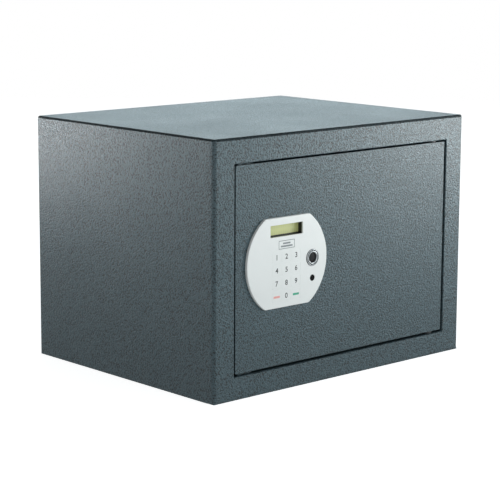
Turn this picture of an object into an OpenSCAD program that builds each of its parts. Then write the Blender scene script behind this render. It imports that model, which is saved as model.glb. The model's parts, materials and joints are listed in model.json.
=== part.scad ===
// In-room safe: a bent steel cabinet with a right-hinged flush door, two motor-driven
// side bolts, and a round-sided keypad fascia with a display and a reader.
// The origin is the middle of the cabinet's underside. X runs to the right, the door faces -Y, Z is up.

/* [Cabinet] */
// Overall width of the cabinet
body_w = 442; // [420:1:560]
// Overall depth of the cabinet, without the fascia
body_d = 350; // [300:1:450]
// Overall height of the cabinet
body_h = 320; // [300:1:420]
// Thickness of the wrap, front frame, base and back sheet
wall_t = 2; // [1.6:0.1:3]
// Outer bend radius along the left and right top edges
bend_r = 6; // [4:0.5:9]
// Outer bend radius of the two upright front edges
stile_r = 5; // [4:0.5:8]
// Outer bend radius of the top front edge
head_r = 2.5; // [2:0.5:5]
// Depth of the pressed skirt that joins the front frame to the wrap
skirt_d = 12; // [10:0.5:20]

/* [Door opening] */
// Width of the frame beside the opening, left and right
border_side = 32.5; // [28:0.5:45]
// Height of the frame above the opening
border_top = 31.5; // [28:0.5:45]
// Height of the frame below the opening
border_bottom = 28.5; // [28:0.5:45]
// Depth of the folded return on the latch side
latch_return_d = 10; // [8:0.5:14]

/* [Door] */
// Thickness of the door plate
door_t = 4; // [3:0.1:5]
// Distance that the door sits behind the frame's face
door_recess = 0.8; // [0:0.1:1.5]
// Gap between door and frame on the latch side
gap_latch = 2.2; // [1.5:0.1:4]
// Gap between door and frame on the hinge side
gap_hinge = 3.6; // [3:0.1:5]
// Gap above the door
gap_top = 2.2; // [1.5:0.1:4]
// Gap below the door, which takes the thrust washer
gap_bottom = 3.8; // [3.2:0.1:6]
// Corner radius of the door plate
door_corner_r = 1.5; // [1:0.5:4]

/* [Hinge] */
// Radius of the hinge pins
pin_r = 4; // [3:0.1:5]
// Distance from the door's hinge edge to the pin axis
hinge_inset = 18; // [16:0.5:24]
// Radial running clearance of pins, bolts and shafts in their bores
run_clear = 0.05; // [0.02:0.01:0.09]

/* [Bolts] */
// Radius of the locking bolts
bolt_r = 9; // [7:0.1:11]
// Height between the two locking bolts
bolt_pitch = 120; // [90:1:150]
// Travel of the bolts from drawn back to thrown
bolt_throw = 18; // [12:0.5:20]
// Clearance between the thrown bolts and the frame's return
bolt_clear = 1; // [0.5:0.1:2]
// Thickness of the bolt channel's steel
channel_t = 3; // [2:0.1:4]

/* [Fascia] */
// Radius of the fascia's round sides
fascia_r = 67.3; // [60:0.5:80]
// Height of the fascia between its two flats
fascia_h = 112.3; // [100:0.1:133]
// Thickness of the fascia in front of the door
fascia_t = 3.5; // [3.2:0.1:6]
// Chamfer round the fascia's front edge
fascia_chamfer = 1; // [0.5:0.1:1.5]
// Distance from the door's latch edge to the fascia's centre
fascia_inset = 83; // [70:0.1:120]
// Height of the fascia's centre above the middle of the door
fascia_rise = 2; // [-10:0.1:10]
// Shift of the key block and display from the fascia's centre
panel_shift = -1.9; // [-4:0.1:0]

/* [Keys] */
// Spacing of the keys, across and down
key_pitch = 16.3; // [13:0.1:17]
// Width of the fascia's bar between two keys side by side
key_bar_w = 1.7; // [1:0.1:4]
// Height of the fascia's bar between two keys one above the other
key_bar_h = 2.9; // [1:0.1:5]
// Thickness of one key
key_t = 1.4; // [1.2:0.1:1.6]
// Travel of one key
key_travel = 0.4; // [0.2:0.05:0.5]
// Seam between a key and the fascia
key_seam = 0.15; // [0.1:0.01:0.3]
// Height of the top key row above the fascia's centre
key_top = 7; // [0:0.1:10]

/* [Display] */
// Width of the display window
window_w = 54.6; // [44:0.1:65]
// Height of the display window
window_h = 14.8; // [12:0.1:18]
// Height of the window's centre above the fascia's centre
window_rise = 39.7; // [34:0.1:44]
// Depth of the display glass behind the fascia's face
glass_depth = 8; // [6:0.1:10]
// Width of the blank badge under the display
badge_w = 27.6; // [15:0.5:40]
// Height of the blank badge
badge_h = 11.4; // [6:0.1:12]

/* [Reader] */
// Outer radius of the reader's bright ring
ring_r = 10.8; // [9:0.1:13]
// Radius of the reader's dark pad
reader_r = 6.4; // [5:0.1:7.4]
// Radius of the round power contact below the reader
socket_r = 4; // [3:0.1:5]
// Distance of the reader to the right of the fascia's centre
reader_shift = 42.5; // [38:0.1:48]
// Drop from the reader to the power contact
socket_drop = 25.6; // [20:0.1:32]

/* [Drive] */
// Teeth on the pinion
pinion_teeth = 12; // [12:1:14]
// Module of the rack and pinion
gear_module = 1; // [0.8:0.1:1.2]
// Distance from the fascia's centre to the pinion's axis
motor_shift = 89.5; // [89:0.5:105]

/* [Anchors] */
// Radius of the anchor holes
anchor_r = 5; // [4:0.5:7]
// Width between the anchor holes in the base
base_anchor_w = 300; // [200:5:340]
// Depth between the anchor holes in the base
base_anchor_d = 200; // [120:5:220]
// Width between the anchor holes in the back
back_anchor_w = 300; // [200:5:340]
// Height of the back anchor holes above the underside
back_anchor_z = 200; // [120:5:260]
// Thickness of the floor mat
mat_t = 4; // [2:0.5:8]

/* [Hidden] */
$fn = 64;
hair = 0.01;

// Planes and edges of the cabinet and of its opening
front_y = -body_d / 2;
back_y = body_d / 2;
side_x = body_w / 2;
open_l = -side_x + border_side;
open_r = side_x - border_side;
open_b = border_bottom;
open_t = body_h - border_top;

// Edges of the door plate
door_l = open_l + gap_latch;
door_r = open_r - gap_hinge;
door_b = open_b + gap_bottom;
door_top = open_t - gap_top;
door_w = door_r - door_l;
door_h = door_top - door_b;
door_y0 = front_y + door_recess;
door_y1 = door_y0 + door_t;
door_mid_z = (door_b + door_top) / 2;

// Hinge
pin_x = door_r - hinge_inset;
lug_wall = 1;
pin_y = door_y1 + pin_r + lug_wall;
lug_w = 2 * pin_r + 12;
lug_d = 2 * pin_r + 4;
lug_h = 10;
bush_wall = 2.5;
bush_r = pin_r + run_clear + bush_wall;
bush_len = 8;
hinge_plate_t = 4;
hinge_return_d = pin_y - front_y + bush_r + 7.7;
washer_wall = 3.5;
washer_gap = 0.2;
pin_engage = 7;

// Fascia and what it carries
key_w = key_pitch - key_bar_w;
key_h = key_pitch - key_bar_h;
key_corner_r = 2;
fascia_x = door_l + fascia_inset;
fascia_z = door_mid_z + fascia_rise;
fascia_y = door_y0 - fascia_t;
panel_x = fascia_x + panel_shift;
face_t = key_t + key_travel + 0.2;
pocket_t = fascia_t - face_t;
membrane_t = 0.8;
membrane_y = fascia_y + face_t + 0.05;
window_z = fascia_z + window_rise;
window_wall = 2.5;
bezel_fit = 0.2;
glass_y = fascia_y + glass_depth;
glass_t = 1.8;
glass_lip = 3;
board_t = 1.6;
display_board_y = glass_y + glass_t;
display_board_w = window_w + 2 * window_wall + 10;
display_board_h = window_h + 2 * window_wall + 16;
badge_z = fascia_z + 21.9;
badge_t = 0.5;
key_block_w = 2 * key_pitch + key_w;
key_block_h = 3 * key_pitch + key_h;
key_block_z = fascia_z + key_top - 1.5 * key_pitch;
membrane_edge = 1.6;
tail_w = 18;
tail_t = 0.6;
tail_slot_h = 3;
tail_z = key_block_z + 10;
peg_r = 3;
peg_fit = 0.2;
peg_x = [fascia_x - 37, fascia_x + 54];
peg_z = [fascia_z - 18, fascia_z + 18];
peg_len = 4;
push_nut_r = 5.5;
push_nut_t = 1.2;
reader_x = fascia_x + reader_shift;
reader_z = fascia_z;
reader_body_r = 8;
reader_body_len = 13;
reader_proud = 1;
reader_recess = 0.6;
socket_z = reader_z - socket_drop;
socket_len = 13;
panel_nut_t = 3.5;
hole_fit = 0.1;

// Bolts, their channel and their bushes
bolt_y = front_y + latch_return_d + bolt_clear + bolt_r;
bolt_tip_x = door_l + 2.5;
bolt_chamfer = 1.5;
bolt_z = [door_mid_z - bolt_pitch / 2, door_mid_z + bolt_pitch / 2];
guide_wall = 2;
guide_r = bolt_r + run_clear + guide_wall;
guide_flange = 1.5;
guide_flange_r = guide_r + 2;
channel_x0 = door_l + 7.3;
channel_w = 30 + channel_t;
channel_x1 = channel_x0 + channel_w;
channel_margin = 20;
channel_z0 = bolt_z[0] - channel_margin;
channel_z1 = bolt_z[1] + channel_margin;
channel_y1 = bolt_y + guide_r + 4;
bar_t = 3;
bar_gap = 2.5;
bar_x0 = channel_x1 + guide_flange + bolt_throw + bar_gap;
bar_x1 = bar_x0 + bar_t;
bar_half_d = bolt_r - 1;
bar_end = 12;
spigot_r = bolt_r - 4;
rivet_t = 2;

// Rack and pinion
pressure_angle = 25;
pitch_r = pinion_teeth * gear_module / 2;
base_r = pitch_r * cos(pressure_angle);
tip_r = pitch_r + gear_module;
root_r = pitch_r - 1.25 * gear_module;
rack_pitch = PI * gear_module;
rack_add = 0.9 * gear_module;
rack_ded = 1.3 * gear_module;
backlash = 0.08 * gear_module;
involute_steps = 5;
motor_x = fascia_x + motor_shift;
rack_t = 4;
pinion_t = 5;
rack_y = bolt_y + 2;
rack_z = door_mid_z - 9;
rack_h = 10;
pinion_z = rack_z + pitch_r;
rack_end_x = motor_x + bolt_throw + 8;
shaft_r = 2;
shaft_len = 6;
gearbox_gap = 0.7;
gearbox_y1 = rack_y - pinion_t / 2 - gearbox_gap;
gearbox_w = 36;
gearbox_h = 30;
gearbox_z0 = pinion_z - 15;
gearbox_z1 = gearbox_z0 + gearbox_h;
motor_r = 10;
motor_len = 28;
motor_y = door_y1 + motor_r + 0.2;
strap_t = 1.5;
strap_w = 10;
strap_foot = 9;
guide_gap = 0.2;
guide_block_w = 14;
guide_block_h = 7;
switch_w = 12;
switch_h = 20;
switch_gap = 0.5;

// Inner cover and battery tray
sheet_t = 1.2;
cover_l = door_l + 3.8;
cover_r = door_r - 34;
cover_b = door_b + 20;
cover_top = door_top - 18;
cover_y1 = channel_y1 + 5.8;
post_r = 4;
post_inset = 12;
post_x = [cover_l + 3 * post_inset, (cover_l + cover_r) / 2 + 14, cover_r - post_inset];
post_z = [cover_b + post_inset - 2, cover_top - post_inset + 2];
screw_r = 1.5;
screw_head_r = 3;
screw_head_t = 1.8;
cell_r = 7.25;
cell_len = 49;
cell_tip_r = 2.75;
cell_tip_len = 1.5;
cell_pitch = 2 * cell_r + 0.4;
cell_count = 4;
tray_t = 1.5;
tray_fit = 0.1;
tray_in_w = cell_count * cell_pitch + 0.4;
tray_in_h = cell_len + cell_tip_len + 5;
tray_x0 = cover_r - 24 - tray_in_w - 2 * tray_t;
tray_x1 = tray_x0 + tray_in_w + 2 * tray_t;
tray_z1 = cover_top - 26;
tray_z0 = tray_z1 - tray_in_h - 2 * tray_t;
tray_y0 = cover_y1 - 2 * cell_r - tray_t - 3;
rim_w = 5;
rim_t = 1.5;
rim_x0 = tray_x0 - rim_w;
rim_x1 = tray_x1 + rim_w;
rim_z0 = tray_z0 - rim_w;
rim_z1 = tray_z1 + rim_w;
lid_gap = 0.3;
lid_t = 1.8;
lid_lap = 1.5;
track_w = rim_w - 1 - lid_gap;
lid_y0 = cover_y1 + rim_t + lid_gap;
track_y1 = lid_y0 + lid_t + lid_gap + 1.4;
lid_x0 = tray_x0 - 1;
lid_x1 = tray_x1 + 1;
lid_z0 = tray_z0 - 1;
lid_z1 = tray_z1 + 1;
contact_t = 0.5;
contact_r = 4;
spring_len = 3;
spring_r = 2.6;

// Control board, reset button and leads
control_w = 78;
plug_w = 10;
plug_h = 8;
plug_d = 6;
battery_plug_x = tray_x0 + plug_w / 2 + 6;
control_x0 = battery_plug_x - control_w + 13;
motor_plug_x = control_x0 + 15;
control_h = 58;
control_z0 = cover_b + 12;
control_stand = 6;
control_y = door_y1 + control_stand;
spacer_r = 3;
spacer_in = 4;
button_r = 3;
button_fit = 0.2;
button_x = control_x0 + control_w + 12;
button_z = control_z0 + 30;
button_head = 1.6;
button_len = 8;
lead_r = 1;
lead_pitch = 3;
lead_y = control_y + board_t + plug_d / 2;
lead_z0 = control_z0 + control_h - 1;

// Anchors and floor mat
mat_edge = 3;
mat_front = cover_y1 + 6;
mat_hole_r = anchor_r + 7;

// Door stops behind the door's latch corners
stop_w = 24;
stop_h = 9;
stop_t = 2;
stop_x = open_l + 10;
buffer_r = 3.5;
buffer_t = 1.6;
buffer_gap = 0.3;

// ---- Shared shapes ----

// A bar that runs along X, Y or Z between two opposite corners
module block(lo, hi) {
    translate(lo) cube(hi - lo);
}

// A cylinder along +Y that starts at y0
module y_cyl(x, y0, z, r, len) {
    translate([x, y0, z]) rotate([-90, 0, 0]) cylinder(r = r, h = len);
}

// A cylinder along +X that starts at x0
module x_cyl(x0, y, z, r, len) {
    translate([x0, y, z]) rotate([0, 90, 0]) cylinder(r = r, h = len);
}

// A flat outline drawn in X and Z, given a thickness along +Y
module plate_xz(y0, t) {
    translate([0, y0 + t, 0]) rotate([90, 0, 0]) linear_extrude(height = t) children();
}

// A rectangle with round corners, from its lower left corner
module round_rect(w, h, r) {
    translate([r, 0]) square([w - 2 * r, h]);
    translate([0, r]) square([w, h - 2 * r]);
    for (x = [r, w - r], y = [r, h - r]) translate([x, y]) circle(r = r);
}

// The cabinet's front outline, drawn in by inset, with round top corners
module cabinet_outline(inset) {
    r = bend_r - inset;
    x = side_x - inset;
    top = body_h - inset;
    translate([-x, inset]) square([2 * x, top - inset - r]);
    translate([-x + r, inset]) square([2 * (x - r), top - inset]);
    for (s = [-1, 1]) translate([s * (x - r), top - r]) circle(r = r);
}

// The cabinet's front end as a solid: round top corners, upright edges and top edge
module front_envelope(inset, y1) {
    rs = stile_r - inset;
    rh = head_r - inset;
    x = side_x - inset;
    y0 = front_y + inset;
    top = body_h - inset;
    intersection() {
        plate_xz(y0 - 1, y1 - y0 + 2) cabinet_outline(inset);
        linear_extrude(height = body_h) {
            translate([-x, y0 + rs]) square([2 * x, y1 - y0 - rs]);
            translate([-x + rs, y0]) square([2 * (x - rs), y1 - y0]);
            for (s = [-1, 1]) translate([s * (x - rs), y0 + rs]) circle(r = rs);
        }
        translate([-side_x, 0, 0]) rotate([90, 0, 90]) linear_extrude(height = body_w) {
            translate([y0 + rh, 0]) square([y1 - y0 - rh, top]);
            translate([y0, 0]) square([y1 - y0, top - rh]);
            translate([y0 + rh, top - rh]) circle(r = rh);
        }
    }
}

// The fascia's outline: a disc cut by two flats
module fascia_outline(inset) {
    half = fascia_h / 2 - inset;
    intersection() {
        circle(r = fascia_r - inset);
        translate([-fascia_r, -half]) square([2 * fascia_r, 2 * half]);
    }
}

// A square-cornered opening or plate round a centre, in X and Z
module centred_block(x, z, w, h, y0, y1) {
    block([x - w / 2, y0, z - h / 2], [x + w / 2, y1, z + h / 2]);
}

// Centre of a key, from its column and its row, both counted from the top left
function key_x(col) = panel_x + (col - 1) * key_pitch;
function key_z(row) = fascia_z + key_top - row * key_pitch;

// One key, with its corners rounded, grown by grow on every side
module key_solid(col, row, y0, t, grow) {
    w = key_w + 2 * grow;
    h = key_h + 2 * grow;
    translate([key_x(col) - w / 2, 0, key_z(row) - h / 2]) plate_xz(y0, t) round_rect(w, h, key_corner_r);
}

module key_pad(col, row, tint) {
    color(tint) key_solid(col, row, fascia_y, key_t, 0);
}

// A ring along Y
module y_ring(x, y0, z, r_in, r_out, len) {
    difference() {
        y_cyl(x, y0, z, r_out, len);
        y_cyl(x, y0 - 1, z, r_in, len + 2);
    }
}

// A pan-head screw along Y whose head faces +Y at y1
module back_screw(x, y1, z, len) {
    y_cyl(x, y1 - len, z, screw_r, len);
    y_cyl(x, y1, z, screw_head_r, screw_head_t);
}

// ---- Cabinet ----

module cabinet_wrap() {
    y0 = front_y + skirt_d;
    color("#6f7d82")
    difference() {
        plate_xz(y0, back_y - y0) cabinet_outline(0);
        plate_xz(y0 - 1, back_y - y0 + 2) cabinet_outline(wall_t);
        block([-side_x + wall_t, y0 - 1, -1], [side_x - wall_t, back_y + 1, body_h / 2]);
    }
}

module base_plate() {
    color("#5b686d")
    difference() {
        block([-side_x + wall_t, front_y + skirt_d, 0], [side_x - wall_t, back_y, wall_t]);
        for (x = [-1, 1], y = [-1, 1])
            translate([x * base_anchor_w / 2, y * base_anchor_d / 2, -1])
                cylinder(r = anchor_r, h = wall_t + 2);
    }
}

module back_panel() {
    color("#5b686d")
    difference() {
        plate_xz(back_y - wall_t, wall_t) cabinet_outline(wall_t);
        for (x = [-1, 1])
            y_cyl(x * back_anchor_w / 2, back_y - wall_t - 1, back_anchor_z, anchor_r, wall_t + 2);
    }
}

module front_frame() {
    y1 = front_y + skirt_d;
    color("#6f7d82")
    difference() {
        union() {
            difference() {
                front_envelope(0, y1);
                front_envelope(wall_t, y1 + 1);
            }
            block([open_l - wall_t, front_y + wall_t, open_b - wall_t],
                  [open_r + wall_t, front_y + hinge_return_d, open_t + wall_t]);
        }
        block([open_l, front_y - 1, open_b], [open_r, front_y + hinge_return_d + 1, open_t]);
        block([open_l - wall_t - 1, front_y + latch_return_d, open_b],
              [open_l + 1, front_y + hinge_return_d + 1, open_t]);
        for (z = [open_b - wall_t - 1, open_t - 1])
            translate([pin_x, pin_y, z]) cylinder(r = bush_r, h = wall_t + 2);
    }
}

// Plates on the hidden side of the return, which stiffen it round the bushes
module hinge_plates() {
    w = 2 * bush_r + 20;
    y0 = front_y + wall_t + 1;
    color("#4d585c")
    for (z = [open_b - wall_t - hinge_plate_t, open_t + wall_t])
        difference() {
            block([pin_x - w / 2, y0, z],
                  [pin_x + w / 2, front_y + hinge_return_d, z + hinge_plate_t]);
            translate([pin_x, pin_y, z - 1]) cylinder(r = bush_r, h = hinge_plate_t + 2);
        }
}

module hinge_bushes() {
    color("#c9c2ad")
    for (z = [open_b - bush_len, open_t])
        translate([pin_x, pin_y, z]) difference() {
            cylinder(r = bush_r, h = bush_len);
            translate([0, 0, -1]) cylinder(r = pin_r + run_clear, h = bush_len + 2);
        }
}

// The lower washer carries the door and the upper one keeps its place
module thrust_washers() {
    color("#33373a")
    for (end = [[open_b, gap_bottom - washer_gap], [door_top + washer_gap, gap_top - washer_gap]])
        translate([pin_x, pin_y, end[0]]) difference() {
            cylinder(r = pin_r + washer_wall, h = end[1]);
            translate([0, 0, -1]) cylinder(r = pin_r + run_clear, h = end[1] + 2);
        }
}

module door_stops() {
    y0 = door_y1 + buffer_gap + buffer_t;
    color("#5b686d") {
        block([stop_x, y0, open_t - stop_h], [stop_x + stop_w, y0 + stop_t, open_t]);
        block([stop_x, y0, open_b], [stop_x + stop_w, y0 + stop_t, open_b + stop_h]);
    }
}

module stop_buffers() {
    color("#26292b")
    for (z = [open_t - stop_h + buffer_r + 0.5, open_b + stop_h - buffer_r - 0.5])
        y_cyl(stop_x + stop_w / 2, door_y1 + buffer_gap, z, buffer_r, buffer_t);
}

module floor_mat() {
    x = side_x - wall_t - mat_edge;
    color("#3c4046")
    difference() {
        block([-x, mat_front, wall_t], [x, back_y - wall_t - mat_edge, wall_t + mat_t]);
        for (x = [-1, 1], y = [-1, 1])
            translate([x * base_anchor_w / 2, y * base_anchor_d / 2, wall_t - 1])
                cylinder(r = mat_hole_r, h = mat_t + 2);
    }
}

// ---- Door ----

module door_plate() {
    color("#6f7d82")
    difference() {
        translate([door_l, 0, door_b]) plate_xz(door_y0, door_t) round_rect(door_w, door_h, door_corner_r);
        centred_block(panel_x, window_z, window_w + 2 * (window_wall + bezel_fit),
                      window_h + 2 * (window_wall + bezel_fit), door_y0 - 1, door_y1 + 1);
        centred_block(panel_x, tail_z, tail_w + 2, tail_slot_h, door_y0 - 1, door_y1 + 1);
        y_cyl(reader_x, door_y0 - 1, reader_z, reader_body_r + hole_fit, door_t + 2);
        y_cyl(reader_x, door_y0 - 1, socket_z, socket_r + hole_fit, door_t + 2);
        for (x = peg_x, z = peg_z) y_cyl(x, door_y0 - 1, z, peg_r + peg_fit, door_t + 2);
    }
}

// Welded lugs that carry the hinge pins behind the door's hinge edge
module hinge_lugs() {
    color("#4d585c")
    for (z = [door_b, door_top - lug_h])
        difference() {
            block([pin_x - lug_w / 2, door_y1, z], [pin_x + lug_w / 2, door_y1 + lug_d, z + lug_h]);
            translate([pin_x, pin_y, z - 1]) cylinder(r = pin_r, h = lug_h + 2);
        }
}

module hinge_pins() {
    color("#b8bcbf") {
        translate([pin_x, pin_y, open_b - pin_engage])
            cylinder(r = pin_r, h = pin_engage + gap_bottom + lug_h);
        translate([pin_x, pin_y, door_top - lug_h])
            cylinder(r = pin_r, h = lug_h + gap_top + pin_engage);
    }
}

module bolt_channel() {
    color("#8f989b")
    difference() {
        union() {
            block([channel_x0, door_y1, channel_z0], [channel_x1, door_y1 + channel_t, channel_z1]);
            for (x = [channel_x0, channel_x1 - channel_t])
                block([x, door_y1, channel_z0], [x + channel_t, channel_y1, channel_z1]);
        }
        for (z = bolt_z) x_cyl(channel_x0 - 1, bolt_y, z, guide_r, channel_w + 2);
    }
}

module guide_bush(x0, flange_x0, z) {
    difference() {
        union() {
            x_cyl(x0, bolt_y, z, guide_r, channel_t);
            x_cyl(flange_x0, bolt_y, z, guide_flange_r, guide_flange);
        }
        x_cyl(x0 - guide_flange - 1, bolt_y, z, bolt_r + run_clear, channel_t + 2 * guide_flange + 2);
    }
}

module guide_bushes() {
    color("#d8d3c4")
    for (z = bolt_z) {
        guide_bush(channel_x0, channel_x0 - guide_flange, z);
        guide_bush(channel_x1 - channel_t, channel_x1, z);
    }
}

module gearbox() {
    color("#3a3e41")
    difference() {
        block([motor_x - gearbox_w / 2, door_y1, gearbox_z0],
              [motor_x + gearbox_w / 2, gearbox_y1, gearbox_z1]);
        y_cyl(motor_x, gearbox_y1 - shaft_len - 1, pinion_z, shaft_r + run_clear, shaft_len + 2);
    }
}

module motor() {
    color("#b8bcbf") {
        translate([motor_x, motor_y, gearbox_z1]) cylinder(r = motor_r, h = motor_len);
        translate([motor_x, motor_y, gearbox_z1 + motor_len]) cylinder(r = 3, h = 2);
    }
}

module motor_strap() {
    z0 = gearbox_z1 + (motor_len - strap_w) / 2;
    outer = motor_r + strap_t;
    color("#8f989b")
    difference() {
        union() {
            translate([motor_x, motor_y, z0]) cylinder(r = outer, h = strap_w);
            block([motor_x - outer - strap_foot, door_y1, z0],
                  [motor_x + outer + strap_foot, door_y1 + strap_t, z0 + strap_w]);
        }
        translate([motor_x, motor_y, z0 - 1]) cylinder(r = motor_r, h = strap_w + 2);
        block([motor_x - outer - 1, door_y0 - 2, z0 - 1], [motor_x + outer + 1, door_y1, z0 + strap_w + 1]);
        block([motor_x - motor_r, door_y0, z0 - 1], [motor_x + motor_r, motor_y, z0 + strap_w + 1]);
    }
}

// A nylon block that backs the rack up under the pinion
module rack_guide() {
    top = rack_z - rack_ded - rack_h - guide_gap;
    color("#d8d3c4")
    block([motor_x - guide_block_w / 2, door_y1, top - guide_block_h],
          [motor_x + guide_block_w / 2, rack_y + rack_t / 2 + 2, top]);
}

module bolt_switch() {
    x0 = bar_x1 + switch_gap;
    z0 = bolt_z[0] + spigot_r + 5;
    color("#26292b") {
        block([x0 + 1, door_y1, z0], [x0 + 1 + switch_w, bolt_y + 3, z0 + switch_h]);
        block([x0, bolt_y - 2, z0 + 4], [x0 + 1, bolt_y + 2, z0 + switch_h - 4]);
    }
}

module fascia() {
    inset_z = fascia_h / 2;
    color("#e6e8e7")
    difference() {
        union() {
            intersection() {
                union() {
                    y_cyl(fascia_x, fascia_y + fascia_chamfer, fascia_z, fascia_r,
                          fascia_t - fascia_chamfer);
                    translate([fascia_x, fascia_y, fascia_z]) rotate([-90, 0, 0])
                        cylinder(r1 = fascia_r - fascia_chamfer, r2 = fascia_r, h = fascia_chamfer);
                }
                translate([fascia_x - fascia_r, 0, fascia_z]) rotate([90, 0, 90])
                    linear_extrude(height = 2 * fascia_r) polygon([
                        [fascia_y, -inset_z + fascia_chamfer],
                        [fascia_y + fascia_chamfer, -inset_z],
                        [door_y0, -inset_z],
                        [door_y0, inset_z],
                        [fascia_y + fascia_chamfer, inset_z],
                        [fascia_y, inset_z - fascia_chamfer]
                    ]);
            }
            for (x = peg_x, z = peg_z) y_cyl(x, door_y0 - 1, z, peg_r, 1 + door_t + peg_len);
        }
        for (col = [0:2], row = [0:3]) key_solid(col, row, fascia_y - 1, fascia_t, key_seam);
        centred_block(panel_x, key_block_z, key_block_w + 2 * membrane_edge,
                      key_block_h + 2 * membrane_edge, door_y0 - pocket_t, door_y0 + 1);
        centred_block(panel_x, window_z, window_w, window_h, fascia_y - 1, door_y0 + 1);
        centred_block(panel_x, window_z, window_w + 2 * (window_wall + bezel_fit),
                      window_h + 2 * (window_wall + bezel_fit), door_y0 - pocket_t, door_y0 + 1);
        centred_block(panel_x, badge_z, badge_w, badge_h, fascia_y - 1, fascia_y + badge_t);
        y_cyl(reader_x, fascia_y - 1, reader_z, reader_body_r + hole_fit, fascia_t + 2);
        y_cyl(reader_x, fascia_y - 1, socket_z, socket_r + hole_fit, fascia_t + 2);
    }
}

module push_nuts() {
    color("#b8bcbf")
    for (x = peg_x, z = peg_z) y_ring(x, door_y1, z, peg_r, push_nut_r, push_nut_t);
}

module key_membrane() {
    color("#3f5f4a")
    centred_block(panel_x, key_block_z, key_block_w + 2 * membrane_edge - 0.6,
                  key_block_h + 2 * membrane_edge - 0.6, membrane_y, membrane_y + membrane_t);
}

// The flat tail that leads from the key membrane through the door to the display board
module membrane_tail() {
    y1 = display_board_y + board_t;
    z1 = window_z - display_board_h / 2 + 4;
    color("#c77b2e") {
        centred_block(panel_x, tail_z, tail_w, tail_t, membrane_y + membrane_t, y1);
        block([panel_x - tail_w / 2, y1, tail_z - tail_t / 2], [panel_x + tail_w / 2, y1 + tail_t, z1]);
    }
}

module display_bezel() {
    y0 = door_y0 - pocket_t;
    color("#1c1e1f")
    difference() {
        centred_block(panel_x, window_z, window_w + 2 * window_wall, window_h + 2 * window_wall,
                      y0, glass_y);
        centred_block(panel_x, window_z, window_w, window_h, y0 - 1, glass_y + 1);
    }
}

module display_glass() {
    color("#b8be80")
    centred_block(panel_x, window_z, window_w + 2 * glass_lip, window_h + 2 * glass_lip,
                  glass_y, glass_y + glass_t);
}

module display_board() {
    color("#2f6b45")
    difference() {
        centred_block(panel_x, window_z, display_board_w, display_board_h,
                      display_board_y, display_board_y + board_t);
        for (x = [-1, 1], z = [-1, 1])
            y_cyl(display_screw_x(x), display_board_y - 1, display_screw_z(z), screw_r, board_t + 2);
    }
}

function display_screw_x(s) = panel_x + s * (display_board_w / 2 - spacer_in);
function display_screw_z(s) = window_z + s * (display_board_h / 2 - spacer_in);
function control_screw_x(s) = control_x0 + control_w / 2 + s * (control_w / 2 - spacer_in);
function control_screw_z(s) = control_z0 + control_h / 2 + s * (control_h / 2 - spacer_in);

module board_spacers() {
    color("#c9c2ad")
    for (x = [-1, 1], z = [-1, 1]) {
        y_ring(display_screw_x(x), door_y1, display_screw_z(z), screw_r, spacer_r,
               display_board_y - door_y1);
        y_ring(control_screw_x(x), door_y1, control_screw_z(z), screw_r, spacer_r, control_stand);
    }
}

module board_screws() {
    color("#b8bcbf")
    for (x = [-1, 1], z = [-1, 1]) {
        y1 = display_board_y + board_t;
        back_screw(display_screw_x(x), y1, display_screw_z(z), y1 - door_y1);
        y2 = control_y + board_t;
        back_screw(control_screw_x(x), y2, control_screw_z(z), y2 - door_y1);
    }
}

// The blank badge lies in its recess, flush with the fascia
module badge() {
    color("#c9cccb")
    centred_block(panel_x, badge_z, badge_w - 0.2, badge_h - 0.2, fascia_y, fascia_y + badge_t);
}

module reader_ring() {
    rim = ring_r - reader_body_r;
    color("#c4c8ca")
    translate([reader_x, fascia_y, reader_z]) rotate([-90, 0, 0]) difference() {
        union() {
            rotate_extrude() polygon([
                [0, 0], [ring_r, 0], [ring_r, -reader_proud / 2],
                [ring_r - rim / 2, -reader_proud], [0, -reader_proud]
            ]);
            cylinder(r = reader_body_r, h = reader_body_len);
        }
        translate([0, 0, -reader_proud - 1]) cylinder(r = reader_r + hole_fit, h = reader_proud + 3);
    }
}

module reader_pad() {
    color("#2b2f31") y_cyl(reader_x, fascia_y + reader_recess, reader_z, reader_r, 2 - reader_recess);
}

// The contact for a service battery, with two small recessed pads
module power_contact() {
    color("#1c1e1f")
    difference() {
        y_cyl(reader_x, fascia_y, socket_z, socket_r, socket_len);
        for (x = [-1, 1]) y_cyl(reader_x + x * socket_r / 2, fascia_y - 1, socket_z, 1, 1.8);
    }
}

module panel_nuts() {
    color("#b8bcbf") {
        y_ring(reader_x, door_y1, reader_z, reader_body_r, reader_body_r + 3, panel_nut_t);
        y_ring(reader_x, door_y1, socket_z, socket_r, socket_r + 3, panel_nut_t);
    }
}

module control_board() {
    y1 = control_y + board_t;
    mid_x = control_x0 + control_w / 2;
    mid_z = control_z0 + control_h / 2;
    color("#2f6b45")
    difference() {
        union() {
            block([control_x0, control_y, control_z0],
                  [control_x0 + control_w, y1, control_z0 + control_h]);
            centred_block(mid_x + 8, mid_z, 16, 16, y1, y1 + 2);
            centred_block(mid_x - 18, mid_z - 4, 14, 18, y1, y1 + 11);
            for (x = [motor_plug_x, battery_plug_x])
                centred_block(x, control_z0 + control_h - plug_h / 2 - 1, plug_w, plug_h, y1, y1 + plug_d);
        }
        for (x = [-1, 1], z = [-1, 1])
            y_cyl(control_screw_x(x), control_y - 1, control_screw_z(z), screw_r, board_t + 2);
    }
}

// Two leads that leave a plug side by side, climb to the motor and turn in to its can
module motor_lead() {
    color("#a33b34")
    for (s = [-1, 1]) {
        x = motor_plug_x + s * lead_pitch / 2;
        z1 = gearbox_z1 + motor_len - 5 + s * lead_pitch / 2;
        translate([x, lead_y, lead_z0]) cylinder(r = lead_r, h = z1 - lead_z0);
        translate([x, lead_y, z1]) sphere(r = lead_r);
        x_cyl(motor_x + sqrt(pow(motor_r, 2) - pow(lead_y - motor_y, 2)) + 0.3, lead_y, z1, lead_r,
              x - motor_x - motor_r);
    }
}

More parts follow.
